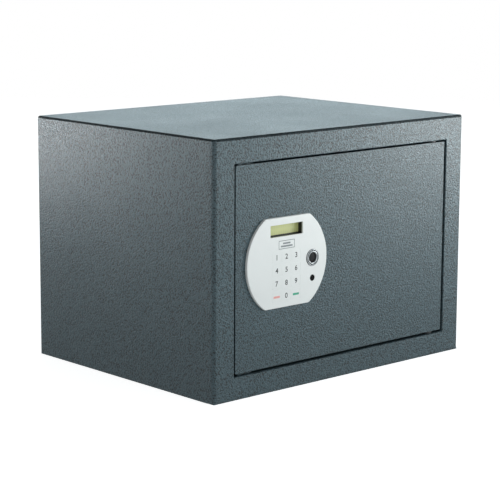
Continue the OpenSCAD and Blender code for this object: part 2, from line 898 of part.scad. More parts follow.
// Two leads that climb from a plug and turn back to the floor of the battery tray
module battery_lead() {
    z1 = tray_z0 + 10;
    color("#a33b34")
    for (s = [-1, 1]) {
        x = battery_plug_x + s * lead_pitch / 2;
        translate([x, lead_y, lead_z0]) cylinder(r = lead_r, h = z1 - lead_z0);
        translate([x, lead_y, z1]) sphere(r = lead_r);
        y_cyl(x, lead_y, z1, lead_r, tray_y0 - lead_y);
    }
}

module battery_tray() {
    color("#33373a")
    difference() {
        union() {
            block([tray_x0, tray_y0, tray_z0], [tray_x1, cover_y1, tray_z1]);
            block([rim_x0, cover_y1, rim_z0], [rim_x1, cover_y1 + rim_t, rim_z1]);
            block([rim_x0, cover_y1, rim_z0], [rim_x1, track_y1, lid_z0 - lid_gap]);
            for (x = [rim_x0, rim_x1 - track_w])
                block([x, cover_y1, rim_z0], [x + track_w, track_y1, rim_z1]);
            for (x = [rim_x0, rim_x1 - track_w - lid_lap])
                block([x, lid_y0 + lid_t + lid_gap, rim_z0], [x + track_w + lid_lap, track_y1, rim_z1]);
        }
        block([tray_x0 + tray_t, tray_y0 + tray_t, tray_z0 + tray_t],
              [tray_x1 - tray_t, lid_y0, tray_z1 - tray_t]);
    }
}

function cell_x(i) = tray_x0 + tray_t + 0.2 + (i + 0.5) * cell_pitch;
cell_y = tray_y0 + tray_t + cell_r + 0.2;
cell_z0 = tray_z0 + tray_t + contact_t + spring_len;

module battery_cells() {
    color("#3d6ea5")
    for (i = [0:cell_count - 1]) translate([cell_x(i), cell_y, cell_z0]) {
        cylinder(r = cell_r, h = cell_len);
        translate([0, 0, cell_len]) cylinder(r = cell_tip_r, h = cell_tip_len);
    }
}

module battery_contacts() {
    color("#b8bcbf")
    for (i = [0:cell_count - 1]) {
        translate([cell_x(i), cell_y, tray_z0 + tray_t]) {
            cylinder(r = contact_r, h = contact_t);
            translate([0, 0, contact_t]) cylinder(r1 = contact_r, r2 = spring_r, h = spring_len);
        }
        translate([cell_x(i), cell_y, tray_z1 - tray_t - contact_t]) cylinder(r = contact_r, h = contact_t);
    }
}

module inner_cover() {
    color("#8f989b")
    difference() {
        block([cover_l, door_y1, cover_b], [cover_r, cover_y1, cover_top]);
        block([cover_l + sheet_t, door_y1 - 1, cover_b + sheet_t],
              [cover_r - sheet_t, cover_y1 - sheet_t, cover_top - sheet_t]);
        for (z = bolt_z) x_cyl(cover_l - 1, bolt_y, z, bolt_r + 1, sheet_t + 2);
        block([tray_x0 - tray_fit, cover_y1 - sheet_t - 1, tray_z0 - tray_fit],
              [tray_x1 + tray_fit, cover_y1 + 1, tray_z1 + tray_fit]);
        y_cyl(button_x, cover_y1 - sheet_t - 1, button_z, button_r + button_fit, sheet_t + 2);
        for (x = post_x, z = post_z) y_cyl(x, cover_y1 - sheet_t - 1, z, screw_r + 0.2, sheet_t + 2);
    }
}

module cover_posts() {
    post_y1 = cover_y1 - sheet_t;
    color("#b8bcbf")
    for (x = post_x, z = post_z) difference() {
        y_cyl(x, door_y1, z, post_r, post_y1 - door_y1);
        y_cyl(x, post_y1 - 8, z, screw_r, 9);
    }
}

module cover_screws() {
    color("#b8bcbf")
    for (x = post_x, z = post_z) back_screw(x, cover_y1, z, sheet_t + 7);
}

// ---- Moving pieces ----

// Outline of the rack's upper edge, with a gap centred under the pinion at rest
module rack_outline() {
    half = rack_pitch / 4 - backlash;
    slope = tan(pressure_angle);
    top_half = half - rack_add * slope;
    root_half = half + rack_ded * slope;
    teeth_left = ceil(tip_r / rack_pitch);
    teeth_right = floor((rack_end_x - motor_x) / rack_pitch) - 1;
    body_top = rack_z - rack_ded;
    translate([bar_x1 - hair, body_top - rack_h]) square([rack_end_x - bar_x1 + hair, rack_h]);
    for (i = [-teeth_left:teeth_right]) {
        x = motor_x + (i + 0.5) * rack_pitch;
        polygon([
            [x - root_half, body_top - hair], [x - root_half, body_top],
            [x - top_half, rack_z + rack_add], [x + top_half, rack_z + rack_add],
            [x + root_half, body_top], [x + root_half, body_top - hair]
        ]);
    }
}

module bolt_bar() {
    color("#9aa1a4")
    difference() {
        union() {
            block([bar_x0, bolt_y - bar_half_d, bolt_z[0] - bar_end],
                  [bar_x1, bolt_y + bar_half_d, bolt_z[1] + bar_end]);
            plate_xz(rack_y - rack_t / 2, rack_t) rack_outline();
        }
        for (z = bolt_z) x_cyl(bar_x0 - 1, bolt_y, z, spigot_r, bar_t + 2);
    }
}

module locking_bolts() {
    color("#c4c8ca")
    for (z = bolt_z) {
        x_cyl(bolt_tip_x + bolt_chamfer, bolt_y, z, bolt_r, bar_x0 - bolt_tip_x - bolt_chamfer);
        translate([bolt_tip_x, bolt_y, z]) rotate([0, 90, 0])
            cylinder(r1 = bolt_r - bolt_chamfer, r2 = bolt_r, h = bolt_chamfer);
        x_cyl(bar_x0, bolt_y, z, spigot_r, bar_t);
        x_cyl(bar_x1, bolt_y, z, spigot_r + 1.5, rivet_t);
    }
}

// Involute flank: polar angle and radius of a point where the string has unrolled by t radians
function flank_r(t) = base_r * sqrt(1 + t * t);
function flank_a(t) = t * 180 / PI - atan(t);
tip_t = sqrt(pow(tip_r / base_r, 2) - 1);
base_half = 90 / pinion_teeth - backlash / pitch_r * 180 / PI + flank_a(tan(pressure_angle));

function polar(r, a) = [r * cos(a), r * sin(a)];
function step_t(i) = tip_t * i / involute_steps;
function tooth(mid) = concat(
    [polar(root_r, mid - base_half)],
    [for (i = [0:involute_steps]) polar(flank_r(step_t(i)), mid - base_half + flank_a(step_t(i)))],
    [for (i = [involute_steps:-1:0]) polar(flank_r(step_t(i)), mid + base_half - flank_a(step_t(i)))],
    [polar(root_r, mid + base_half)]
);

module pinion() {
    points = [for (i = [0:pinion_teeth - 1]) each tooth(-90 + i * 360 / pinion_teeth)];
    color("#e0ddd2") {
        translate([motor_x, 0, pinion_z]) plate_xz(rack_y - pinion_t / 2, pinion_t) polygon(points);
        y_cyl(motor_x, gearbox_y1 - shaft_len, pinion_z, shaft_r, shaft_len + gearbox_gap);
    }
}

module battery_cover() {
    color("#3a3e41") {
        block([lid_x0, lid_y0, lid_z0], [lid_x1, lid_y0 + lid_t, lid_z1]);
        for (i = [0:3])
            block([(lid_x0 + lid_x1) / 2 - 10, lid_y0 + lid_t, lid_z1 - 8 - 3 * i],
                  [(lid_x0 + lid_x1) / 2 + 10, lid_y0 + lid_t + 1, lid_z1 - 6.8 - 3 * i]);
    }
}

module reset_button() {
    color("#a33b34") y_cyl(button_x, cover_y1 + button_head - button_len, button_z, button_r, button_len);
}

module key_1() { key_pad(0, 0, "#e6e8e7"); }
module key_2() { key_pad(1, 0, "#e6e8e7"); }
module key_3() { key_pad(2, 0, "#e6e8e7"); }
module key_4() { key_pad(0, 1, "#e6e8e7"); }
module key_5() { key_pad(1, 1, "#e6e8e7"); }
module key_6() { key_pad(2, 1, "#e6e8e7"); }
module key_7() { key_pad(0, 2, "#e6e8e7"); }
module key_8() { key_pad(1, 2, "#e6e8e7"); }
module key_9() { key_pad(2, 2, "#e6e8e7"); }
module key_clear() { key_pad(0, 3, "#e8c0bb"); }
module key_0() { key_pad(1, 3, "#e6e8e7"); }
module key_enter() { key_pad(2, 3, "#b9dccd"); }

cabinet_wrap();
base_plate();
back_panel();
front_frame();
hinge_plates();
hinge_bushes();
thrust_washers();
door_stops();
stop_buffers();
floor_mat();
door_plate();
hinge_lugs();
hinge_pins();
bolt_channel();
guide_bushes();
gearbox();
motor();
motor_strap();
rack_guide();
bolt_switch();
fascia();
push_nuts();
key_membrane();
membrane_tail();
display_bezel();
display_glass();
display_board();
badge();
reader_ring();
reader_pad();
power_contact();
panel_nuts();
control_board();
board_spacers();
board_screws();
motor_lead();
battery_tray();
battery_cells();
battery_contacts();
battery_lead();
inner_cover();
cover_posts();
cover_screws();
bolt_bar();
locking_bolts();
pinion();
battery_cover();
reset_button();
key_1();
key_2();
key_3();
key_4();
key_5();
key_6();
key_7();
key_8();
key_9();
key_clear();
key_0();
key_enter();
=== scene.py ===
"""Finished pieces, materials and studio of an in-room safe, laid over its CAD frame.

The frame's nodes give every position. Lengths are in metres, X runs to the right, the door
faces -Y and Z is up. Sizes and colours that a maker would change are in the property groups.
"""

import json
import math

import bmesh
import bpy
from bpy.props import FloatProperty, FloatVectorProperty, PointerProperty
from mathutils import Matrix, Vector

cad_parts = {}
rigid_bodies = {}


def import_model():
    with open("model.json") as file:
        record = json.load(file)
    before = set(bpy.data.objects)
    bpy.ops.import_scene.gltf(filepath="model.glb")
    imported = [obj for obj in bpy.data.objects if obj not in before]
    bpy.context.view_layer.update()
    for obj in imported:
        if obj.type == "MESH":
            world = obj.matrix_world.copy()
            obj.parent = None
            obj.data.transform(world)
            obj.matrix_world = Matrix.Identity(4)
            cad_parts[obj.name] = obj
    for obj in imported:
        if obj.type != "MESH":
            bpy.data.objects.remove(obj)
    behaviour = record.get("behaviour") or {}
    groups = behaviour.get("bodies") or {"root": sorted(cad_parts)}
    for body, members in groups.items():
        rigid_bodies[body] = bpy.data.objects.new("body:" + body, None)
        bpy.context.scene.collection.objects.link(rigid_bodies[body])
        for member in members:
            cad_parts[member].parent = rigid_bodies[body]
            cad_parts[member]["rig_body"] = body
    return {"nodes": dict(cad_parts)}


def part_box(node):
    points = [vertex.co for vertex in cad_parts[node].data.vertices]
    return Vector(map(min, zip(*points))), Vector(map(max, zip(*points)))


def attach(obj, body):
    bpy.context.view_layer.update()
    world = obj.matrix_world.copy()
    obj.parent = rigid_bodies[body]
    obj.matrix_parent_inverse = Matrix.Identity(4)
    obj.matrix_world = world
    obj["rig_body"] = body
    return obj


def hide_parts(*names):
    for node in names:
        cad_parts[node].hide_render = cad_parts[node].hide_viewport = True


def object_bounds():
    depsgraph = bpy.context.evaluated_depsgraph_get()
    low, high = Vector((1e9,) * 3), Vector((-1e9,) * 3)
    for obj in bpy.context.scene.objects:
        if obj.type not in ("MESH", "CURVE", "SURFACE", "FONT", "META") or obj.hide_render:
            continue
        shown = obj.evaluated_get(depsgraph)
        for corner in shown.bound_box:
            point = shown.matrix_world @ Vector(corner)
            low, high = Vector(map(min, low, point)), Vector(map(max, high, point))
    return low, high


bl_info = {
    "name": "In-room safe",
    "version": (1, 0, 0),
    "blender": (4, 5, 0),
    "location": "View3D > Sidebar > Safe",
    "description": "Builds the finished pieces, materials and studio of an in-room safe",
    "category": "Add Mesh",
}

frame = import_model()
CAD_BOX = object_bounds()
MM = 0.001
NEAR = 1e-6  # metres; points closer than this are taken to lie on one plane
BACK = Vector((0, 1, 0))
LIFT, INK = 0.015 * MM, 0.01 * MM  # how far print stands before its face, and its thickness
GAP = 0.1 * MM  # between the fascia and what is let into it
KEY_CORNER, BADGE_CORNER = 2.0 * MM, 0.8 * MM
KEYS = [n for n in frame["nodes"] if n.startswith("key_") and n != "key_membrane"]


# ---- Sizes and colours ----


def linear(code):
    """Turns an sRGB hex colour into linear red, green and blue."""
    parts = [int(code[i : i + 2], 16) / 255 for i in (1, 3, 5)]
    return [c / 12.92 if c <= 0.04045 else ((c + 0.055) / 1.055) ** 2.4 for c in parts]


def length(name, description, default):
    """A length in the sidebar, in metres."""
    return FloatProperty(
        name=name, description=description, default=default, min=0, precision=4, unit="LENGTH"
    )


def colour(name, description, code):
    """A colour in the sidebar, given as sRGB hex."""
    return FloatVectorProperty(
        name=name, description=description, default=linear(code), min=0, max=1, subtype="COLOR"
    )


class SafeSizes(bpy.types.PropertyGroup):
    """Sizes of the finished pieces that the CAD frame doesn't settle."""

    sheet: length("Sheet", "Thickness of the cabinet's steel sheet", 2.0 * MM)
    side_bend: length("Side bend", "Outer bend radius along the top side edges", 3.5 * MM)
    upright_bend: length("Upright bend", "Outer bend radius of the upright front edges", 6.5 * MM)
    head_bend: length("Head bend", "Outer bend radius of the top front edge", 2.5 * MM)
    foot_bend: length("Foot bend", "Rounding of the bottom front edges", 0.8 * MM)
    lip_bend: length("Lip bend", "Bend radius round the door opening", 1.2 * MM)
    border_side: length("Side border", "Width of the frame beside the opening", 32.5 * MM)
    latch_return: length("Latch return", "Depth of the return on the latch side", 10.0 * MM)
    door_round: length("Door edge", "Rounding of the door plate's edges", 0.45 * MM)
    fascia_rim: length("Fascia rim", "Rounding of the fascia's front edge", 0.9 * MM)
    fascia_corner: length("Fascia corner", "Rounding where its sides meet its flats", 1.3 * MM)
    fascia_wall: length("Fascia wall", "Thickness of the fascia's moulded skin", 1.2 * MM)
    key_seam: length("Key seam", "Gap between a key and the fascia", 0.05 * MM)
    reader_hole: length("Reader hole", "Radius of the fascia's hole for the reader", 8.1 * MM)
    reader_barrel: length("Reader barrel", "Radius of the reader's barrel", 8.0 * MM)
    digit: length("Digit", "Height of the printed digits", 6.6 * MM)
    relief_cell: length("Relief cell", "Size of one dimple of the paint's relief", 2.2 * MM)
    relief_height: length("Relief height", "Height of the paint's relief", 1.0 * MM)


class SafeColours(bpy.types.PropertyGroup):
    """Colours of the finishes."""

    paint: colour("Paint", "Relief powder coat of cabinet and door", "#3F535A")
    # painted shade: the relief's pits are coloured darker than the coat
    painted_pit_shade: colour("Painted pit shade", "Painted shade in the relief's pits", "#161E21")
    inside: colour("Inside", "Fine powder coat inside the cabinet", "#6B7B80")
    cover: colour("Inner cover", "Powder coat of the door's inner cover", "#8B9395")
    fascia: colour("Fascia", "White moulded plastic", "#E0E3E2")
    ink: colour("Ink", "Printed digits", "#2B2F31")
    ink_red: colour("Red ink", "Bar on the clear key", "#E2A29B")
    ink_green: colour("Green ink", "Bar on the enter key", "#3FA283")
    ink_grey: colour("Grey ink", "Outline and bands of the blank badge", "#7F8688")
    lcd: colour("Display", "Reflective layer of the liquid crystal display", "#C6CB86")
    felt: colour("Felt", "Needled felt of the floor mat", "#4A4F54")
    floor: colour("Floor", "Studio floor", "#ECEEEF")


# ---- Materials ----

NOISE, VORONOI, WAVE = "ShaderNodeTexNoise", "ShaderNodeTexVoronoi", "ShaderNodeTexWave"
RAMP, RANGE, MIX = "ShaderNodeValToRGB", "ShaderNodeMapRange", "ShaderNodeMix"
MATH, VECTOR, SPLIT = "ShaderNodeMath", "ShaderNodeVectorMath", "ShaderNodeSeparateXYZ"
BUMP, PLACE, RAYS = "ShaderNodeBump", "ShaderNodeTexCoord", "ShaderNodeLightPath"
COLOUR_A, COLOUR_B, COLOUR_OUT = 6, 7, 2  # a Mix node's sockets when it mixes colours
MIDDLE = {"From Min": 0.3, "From Max": 0.7}  # most values of a noise lie between these
BAND_PITCH = 0.314  # metres between the bands of a wave texture at scale 1


def add(tree, kind, inputs, out=0, stops=(), **settings):
    """Adds a node with its settings and returns one of its outputs.

    An input is a plain value, or the output that is linked into it. A colour ramp's stops are
    positions and linear colours.
    """
    made = tree.nodes.new(kind)
    for key, value in settings.items():
        setattr(made, key, value)
    for key, given in inputs.items():
        if isinstance(given, bpy.types.NodeSocket):
            tree.links.new(given, made.inputs[key])
        else:
            made.inputs[key].default_value = given
    if stops:
        elements = made.color_ramp.elements
        while len(elements) < len(stops):
            elements.new(0.5)
        for element, (position, tint) in zip(elements, stops):
            element.position, element.color = position, (*tint, 1)
    return made.outputs[out]


class Finish:
    """A procedural material in the making: its shader, its tree and its place on the object."""

    def __init__(self, name, **values):
        self.material = bpy.data.materials.new(name)
        self.material.use_nodes = True
        self.tree = self.material.node_tree
        self.shader = self.tree.nodes["Principled BSDF"]
        for key, value in values.items():
            self.shader.inputs[key.replace("_", " ")].default_value = value
        self.place = self.add(PLACE, {}, "Object")

    def add(self, *given, **settings):
        """Adds a node to this finish."""
        return add(self.tree, *given, **settings)

    def sized(self, size, detail):
        """The inputs of a noise whose blobs have a size in metres."""
        return {"Vector": self.place, "Scale": 1 / size, "Detail": detail}

    def into(self, socket, source):
        """Links an output into the shader."""
        self.tree.links.new(source, self.shader.inputs[socket])

    def done(self, tints, rough=None, relief=None):
        """Gives the shader its colours, from an output or from a pattern and its stops, a
        roughness that follows a pattern between two values, and relief that follows a pattern
        with a height in metres. Returns the material."""
        if isinstance(tints, tuple):
            tints = self.add(RAMP, {"Fac": tints[0]}, "Color", tints[1:])
        self.into("Base Color", tints)
        if rough:
            pattern, low, high = rough
            share = {"Value": pattern, **MIDDLE, "To Min": low, "To Max": high}
            self.into("Roughness", self.add(RANGE, share, "Result"))
        if relief:
            pattern, height = relief
            self.into("Normal", self.add(BUMP, {"Height": pattern, "Distance": height}, "Normal"))
        return self.material


def shade(tint, share):
    """A linear colour made darker or lighter by a share of itself."""
    return [min(1.0, c * share) for c in tint]


def relief_coat(name, light, pit_shade, cell, height, gloss=1.0):
    """Polyester powder coat with a leather-like relief, sprayed and baked on sheet steel.

    Rounded dimples catch the light on one flank and shade on the other, and their pits are
    painted darker as painted shade. Metal flake in the coat tints its soft sheen.
    """
    f = Finish(
        name, Metallic=0.35 * gloss, Coat_Weight=0.35 * gloss, Coat_Roughness=0.42,
        Specular_IOR_Level=0.5 * gloss,
    )
    wander = f.add(NOISE, {"Vector": f.place, "Scale": 0.5 / cell}, "Color")
    shift = {0: wander, 1: [cell * 1.2] * 3, 2: f.place}
    cells = f.add(
        VORONOI,
        {"Vector": f.add(VECTOR, shift, operation="MULTIPLY_ADD"), "Scale": 1 / cell,
         "Smoothness": 0.5},
        "Distance", feature="SMOOTH_F1",
    )
    grains = f.add(NOISE, f.sized(cell * 0.8, 1.0), "Fac")
    total = f.add(MATH, {0: cells, 1: grains}, operation="ADD")
    clouds = f.add(NOISE, f.sized(110 * MM, 3.0), "Fac")
    # the pits take the darker colour: painted shade in the relief's hollows
    coat = f.add(RAMP, {"Fac": total}, "Color", [(0.72, pit_shade), (0.98, light)])
    patchy = f.add(RAMP, {"Fac": clouds}, "Color", [(0.3, [0.93] * 3), (0.7, [1.0] * 3)])
    tints = f.add(
        MIX, {0: 1.0, COLOUR_A: coat, COLOUR_B: patchy}, COLOUR_OUT,
        data_type="RGBA", blend_type="MULTIPLY",
    )
    return f.done(tints, (clouds, 0.42, 0.5), (total, height))


def fine_coat(name, tint):
    """Epoxy powder coat, as on the hidden sides of the steel; a fine orange peel breaks its
    reflections up."""
    f = Finish(name, Metallic=0.1, Coat_Weight=0.1, Coat_Roughness=0.3)
    peel = f.add(NOISE, f.sized(1.4 * MM, 1.0), "Fac")
    clouds = f.add(NOISE, f.sized(60 * MM, 3.0), "Fac")
    tints = (clouds, (0.3, shade(tint, 0.9)), (0.7, tint))
    return f.done(tints, (clouds, 0.42, 0.55), (peel, 0.06 * MM))


def moulded(name, tint, roughness, bands=0.97, gloss=0.5, grain=0.5 * MM, height=0.012 * MM):
    """Injection-moulded plastic; the fine eroded grain of its mould softens its sheen."""
    f = Finish(name, IOR=1.5, Specular_IOR_Level=gloss)
    skin = f.add(NOISE, f.sized(grain, 2.0), "Fac")
    flow = f.add(NOISE, f.sized(35 * MM, 2.0), "Fac")
    tints = (flow, (0.3, shade(tint, bands)), (0.7, tint))
    return f.done(tints, (skin, roughness - 0.05, roughness + 0.05), (skin, height))


def plated(name, tint, roughness, stretch=(1, 1, 1)):
    """Steel with a bright zinc plating; its drawing or rolling lines streak the reflections."""
    f = Finish(name, Metallic=1.0)
    drawn = f.add(VECTOR, {0: f.place, 1: stretch}, operation="MULTIPLY")
    lines = f.add(NOISE, {"Vector": drawn, "Scale": 1 / (0.8 * MM), "Detail": 3.0}, "Fac")
    bloom = f.add(NOISE, f.sized(14 * MM, 3.0), "Fac")
    tints = (bloom, (0.3, shade(tint, 0.82)), (0.7, tint))
    return f.done(tints, (lines, roughness - 0.08, roughness + 0.1), (lines, 0.01 * MM))


def turned(name, tint, roughness, axis, pitch=0.35 * MM):
    """Metal turned in a lathe: fine rings across the axis that it was turned about."""
    f = Finish(name, Metallic=1.0)
    rings = f.add(
        WAVE,
        {"Vector": f.place, "Scale": BAND_PITCH / pitch, "Distortion": 0.6, "Detail": 1.0,
         "Detail Scale": 2.0},
        "Fac", wave_type="BANDS", bands_direction=axis,
    )
    smears = f.add(NOISE, f.sized(6 * MM, 2.0), "Fac")
    tints = (smears, (0.3, shade(tint, 0.88)), (0.7, tint))
    return f.done(tints, (smears, roughness - 0.05, roughness + 0.08), (rings, 0.004 * MM))


def rubber(name, tint):
    """Moulded rubber: dark, matt and a little dusty."""
    f = Finish(name, Sheen_Weight=0.25, Sheen_Roughness=0.5, IOR=1.52)
    skin = f.add(NOISE, f.sized(0.7 * MM, 3.0), "Fac")
    tints = (skin, (0.35, tint), (0.75, shade(tint, 1.7)))
    return f.done(tints, (skin, 0.75, 0.9), (skin, 0.03 * MM))


def needled_felt(name, tint):
    """Polyester felt, needled flat: crossing fibres with lighter strands.

    Real fibres are thinner than a tenth of a millimetre, so they are drawn coarser to show.
    """
    f = Finish(name, Sheen_Weight=0.6, Sheen_Roughness=0.4, IOR=1.45)
    strands = {}
    for way, stretch in enumerate(((1, 6, 6), (6, 1, 6))):
        drawn = f.add(VECTOR, {0: f.place, 1: stretch}, operation="MULTIPLY")
        strands[way] = f.add(
            NOISE, {"Vector": drawn, "Scale": 1 / (2.4 * MM), "Detail": 4.0}, "Fac"
        )
    fibres = f.add(MATH, strands, operation="MAXIMUM")
    tufts = f.add(NOISE, f.sized(9 * MM, 2.0), "Fac")
    both = f.add(MATH, {0: tufts, 1: 0.4, 2: fibres}, operation="MULTIPLY_ADD")
    tints = (both, (0.6, shade(tint, 0.55)), (0.95, shade(tint, 1.7)))
    return f.done(tints, (fibres, 0.85, 1.0), (both, 0.5 * MM))


def liquid_crystal(name, tint, window):
    """A reflective liquid crystal display behind a polished window.

    The yellow-green layer has rows of unlit character cells, a shade darker than the rest.
    """
    f = Finish(name, Coat_Weight=1.0, Coat_Roughness=0.04, Roughness=0.45, IOR=1.5)
    axes = f.add(SPLIT, {"Vector": f.place}).node.outputs
    low, high = window
    masks = {}
    for way, (axis, count, start, end) in enumerate(
        (("X", 16, low.x, high.x), ("Z", 2, low.z, high.z))
    ):
        span = {"From Min": start, "From Max": end, "To Min": 0.0, "To Max": count}
        share = f.add(RANGE, {"Value": axes[axis], **span}, "Result")
        part = f.add(MATH, {0: share}, operation="FRACT")
        begun = f.add(MATH, {0: part, 1: 0.18}, operation="GREATER_THAN")
        unended = f.add(MATH, {0: part, 1: 0.86}, operation="LESS_THAN")
        masks[way] = f.add(MATH, {0: begun, 1: unended}, operation="MULTIPLY")
    cells = f.add(MATH, masks, operation="MULTIPLY")
    glow = f.add(NOISE, f.sized(30 * MM, 1.0), "Fac")
    dimmed = f.add(MATH, {0: cells, 1: 0.1}, operation="MULTIPLY")
    lit = f.add(MATH, {0: glow, 1: 0.6}, operation="MULTIPLY")
    amount = f.add(MATH, {0: lit, 1: dimmed}, operation="SUBTRACT")
    haze = f.add(NOISE, f.sized(0.4 * MM, 1.0), "Fac")
    tints = (amount, (0.1, shade(tint, 0.82)), (0.5, tint))
    return f.done(tints, relief=(haze, 0.002 * MM))


def printed(name, tint):
    """Screen-printed ink, slightly uneven at the scale of the mesh that it was pressed
    through."""
    f = Finish(name, IOR=1.48)
    mesh = f.add(NOISE, f.sized(0.25 * MM, 1.0), "Fac")
    tints = (mesh, (0.3, shade(tint, 0.92)), (0.7, shade(tint, 1.08)))
    return f.done(tints, (mesh, 0.4, 0.55))


def circuit_board(name, tint):
    """Glass-epoxy board under a green solder mask, with tracks 3.2 mm apart and dots of tin
    3.8 mm apart."""
    f = Finish(name, Coat_Weight=0.5, Coat_Roughness=0.15, IOR=1.5)
    turn = {"Vector": f.place, "Rotation": (math.pi / 2, 0, 0)}
    tracks = f.add(
        "ShaderNodeTexBrick",
        {"Vector": f.add("ShaderNodeMapping", turn), "Scale": 110.0, "Mortar Size": 0.012,
         "Brick Width": 0.9, "Row Height": 0.35},
        "Fac",
    )
    dots = f.add(VORONOI, {"Vector": f.place, "Scale": 260.0, "Randomness": 0.35}, "Distance")
    mask = f.add(RAMP, {"Fac": tracks}, "Color", [(0.0, tint), (1.0, shade(tint, 1.7))])
    tin = f.add(MATH, {0: dots, 1: 0.16}, operation="LESS_THAN")
    tints = f.add(
        MIX, {0: tin, COLOUR_A: mask, COLOUR_B: (0.6, 0.62, 0.6, 1)}, COLOUR_OUT,
        data_type="RGBA",
    )
    f.into("Metallic", f.add(MATH, {0: tin, 1: 0.9}, operation="MULTIPLY"))
    return f.done(tints, (dots, 0.3, 0.45), (tracks, 0.04 * MM))


def shrink_wrap(name, body, band, low, high):
    """Alkaline cells: dark shrink film with a copper-coloured band at the plus end, and caps
    of tin."""
    f = Finish(name, IOR=1.5, Coat_Weight=0.6, Coat_Roughness=0.1)
    rise = f.add(SPLIT, {"Vector": f.place}, "Z")
    span = {"From Min": low, "From Max": high, "To Min": 0.0, "To Max": 1.0}
    share = f.add(RANGE, {"Value": rise, **span}, "Result")
    tin = [0.72, 0.72, 0.7]
    stops = [(0.0, body), (0.655, body), (0.66, band), (0.955, band), (0.96, tin), (1.0, tin)]
    wrap = f.add(RAMP, {"Fac": share}, "Color", stops)
    film = f.add(NOISE, f.sized(1.5 * MM, 2.0), "Fac")
    shine = f.add(RAMP, {"Fac": film}, "Color", [(0.3, [0.92] * 3), (0.7, [1.0] * 3)])
    tints = f.add(
        MIX, {0: 1.0, COLOUR_A: wrap, COLOUR_B: shine}, COLOUR_OUT,
        data_type="RGBA", blend_type="MULTIPLY",
    )
    f.into("Metallic", f.add(MATH, {0: share, 1: 0.655}, operation="GREATER_THAN"))
    return f.done(tints, (film, 0.28, 0.36))


def polyimide(name, tint):
    """Amber film with copper tracks that run along it under the surface."""
    f = Finish(name, Coat_Weight=0.5, Coat_Roughness=0.1, IOR=1.6)
    tracks = f.add(
        WAVE, {"Vector": f.place, "Scale": BAND_PITCH / (1.2 * MM), "Distortion": 0.0}, "Fac",
        wave_type="BANDS", bands_direction="X",
    )
    tints = (tracks, (0.35, tint), (0.65, shade(tint, 0.55)))
    return f.done(tints, (tracks, 0.3, 0.4), (tracks, 0.02 * MM))


# ---- Mesh helpers ----


def soften(bm, width, segments=2, over=30, edges=None):
    """Rounds edges that turn more than an angle, or the edges given."""
    if edges is None:
        turn = math.radians(over)
        edges = [e for e in bm.edges if e.is_manifold and e.calc_face_angle() > turn]
    if edges:
        bmesh.ops.bevel(
            bm, geom=edges, offset=width, offset_type="OFFSET", segments=segments,
            profile=0.5, affect="EDGES", clamp_overlap=True, material=-1,
        )


def spun(bm, profile, axis, centre, steps=48, closed=False):
    """Spins a profile of (radius, distance along the axis) into a turned shape.

    The axis is "X", "Y" or "Z". The profile starts and ends on it, or is closed for a ring.
    """
    out, along = {"X": ("Z", "X"), "Y": ("X", "Y"), "Z": ("X", "Z")}[axis]
    unit = {"X": Vector((1, 0, 0)), "Y": BACK, "Z": Vector((0, 0, 1))}
    rim = [bm.verts.new(Vector(centre) + unit[out] * r + unit[along] * d) for r, d in profile]
    edges = [bm.edges.new(pair) for pair in zip(rim, rim[1:] + rim[:1] if closed else rim[1:])]
    bmesh.ops.spin(
        bm, geom=rim + edges, cent=centre, axis=unit[along], angle=math.tau, steps=steps,
        use_merge=True, use_duplicate=False,
    )
    bmesh.ops.remove_doubles(bm, verts=bm.verts, dist=0.1 * NEAR)
    bmesh.ops.recalc_face_normals(bm, faces=bm.faces)


def loop_of(verts):
    """The edges that join a set of vertices."""
    held = set(verts)
    edges = dict.fromkeys(e for v in verts for e in v.link_edges)
    return [e for e in edges if set(e.verts) <= held]


def drawn_out(bm, edges, depth):
    """Extrudes edges into walls along Y and returns the new vertices."""
    made = bmesh.ops.extrude_edge_only(bm, edges=edges)["geom"]
    verts = [g for g in made if isinstance(g, bmesh.types.BMVert)]
    bmesh.ops.translate(bm, verts=verts, vec=BACK * depth)
    return verts


def thicken(bm, faces, depth):
    """Gives flat upright faces a thickness towards the back."""
    made = bmesh.ops.extrude_face_region(bm, geom=faces)["geom"]
    verts = [g for g in made if isinstance(g, bmesh.types.BMVert)]
    bmesh.ops.translate(bm, verts=verts, vec=BACK * depth)
    bmesh.ops.recalc_face_normals(bm, faces=bm.faces)


def along_y(x, y, z):
    """Stands a shape that was made flat in X and Y upright, facing -Y, at a place."""
    return Matrix.Translation((x, y, z)) @ Matrix.Rotation(math.pi / 2, 4, "X")


def to_piece(bm, name, node, finish, hides=(), sharp=35):
    """Makes the mesh a piece that goes with a CAD node: it rides on the node's body, takes the
    finishes given and hides the nodes that it stands for. Edges over the angle stay sharp."""
    mesh = bpy.data.meshes.new(name)
    bm.to_mesh(mesh)
    bm.free()
    piece = bpy.data.objects.new(name, mesh)
    bpy.context.scene.collection.objects.link(piece)
    for material in finish if isinstance(finish, (list, tuple)) else [finish]:
        mesh.materials.append(material)
    smooth_faces(mesh, sharp)
    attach(piece, frame["nodes"][node]["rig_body"])
    if hides:
        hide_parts(*hides)
    return piece


def smooth_faces(mesh, sharp):
    """Smooth shading that keeps edges over an angle sharp."""
    mesh.polygons.foreach_set("use_smooth", [True] * len(mesh.polygons))
    mesh.set_sharp_from_angle(angle=math.radians(sharp))


def settle(piece, sharp=35):
    """Turns a piece's modifiers into its mesh and weighs its normals by face area."""
    for stage in range(2):
        if stage:
            smooth_faces(piece.data, sharp)
            weigh = piece.modifiers.new("Weighted normals", "WEIGHTED_NORMAL")
            weigh.keep_sharp = True
        graph = bpy.context.evaluated_depsgraph_get()
        made = bpy.data.meshes.new_from_object(piece.evaluated_get(graph))
        piece.modifiers.clear()
        piece.data = made
        made.name = piece.name


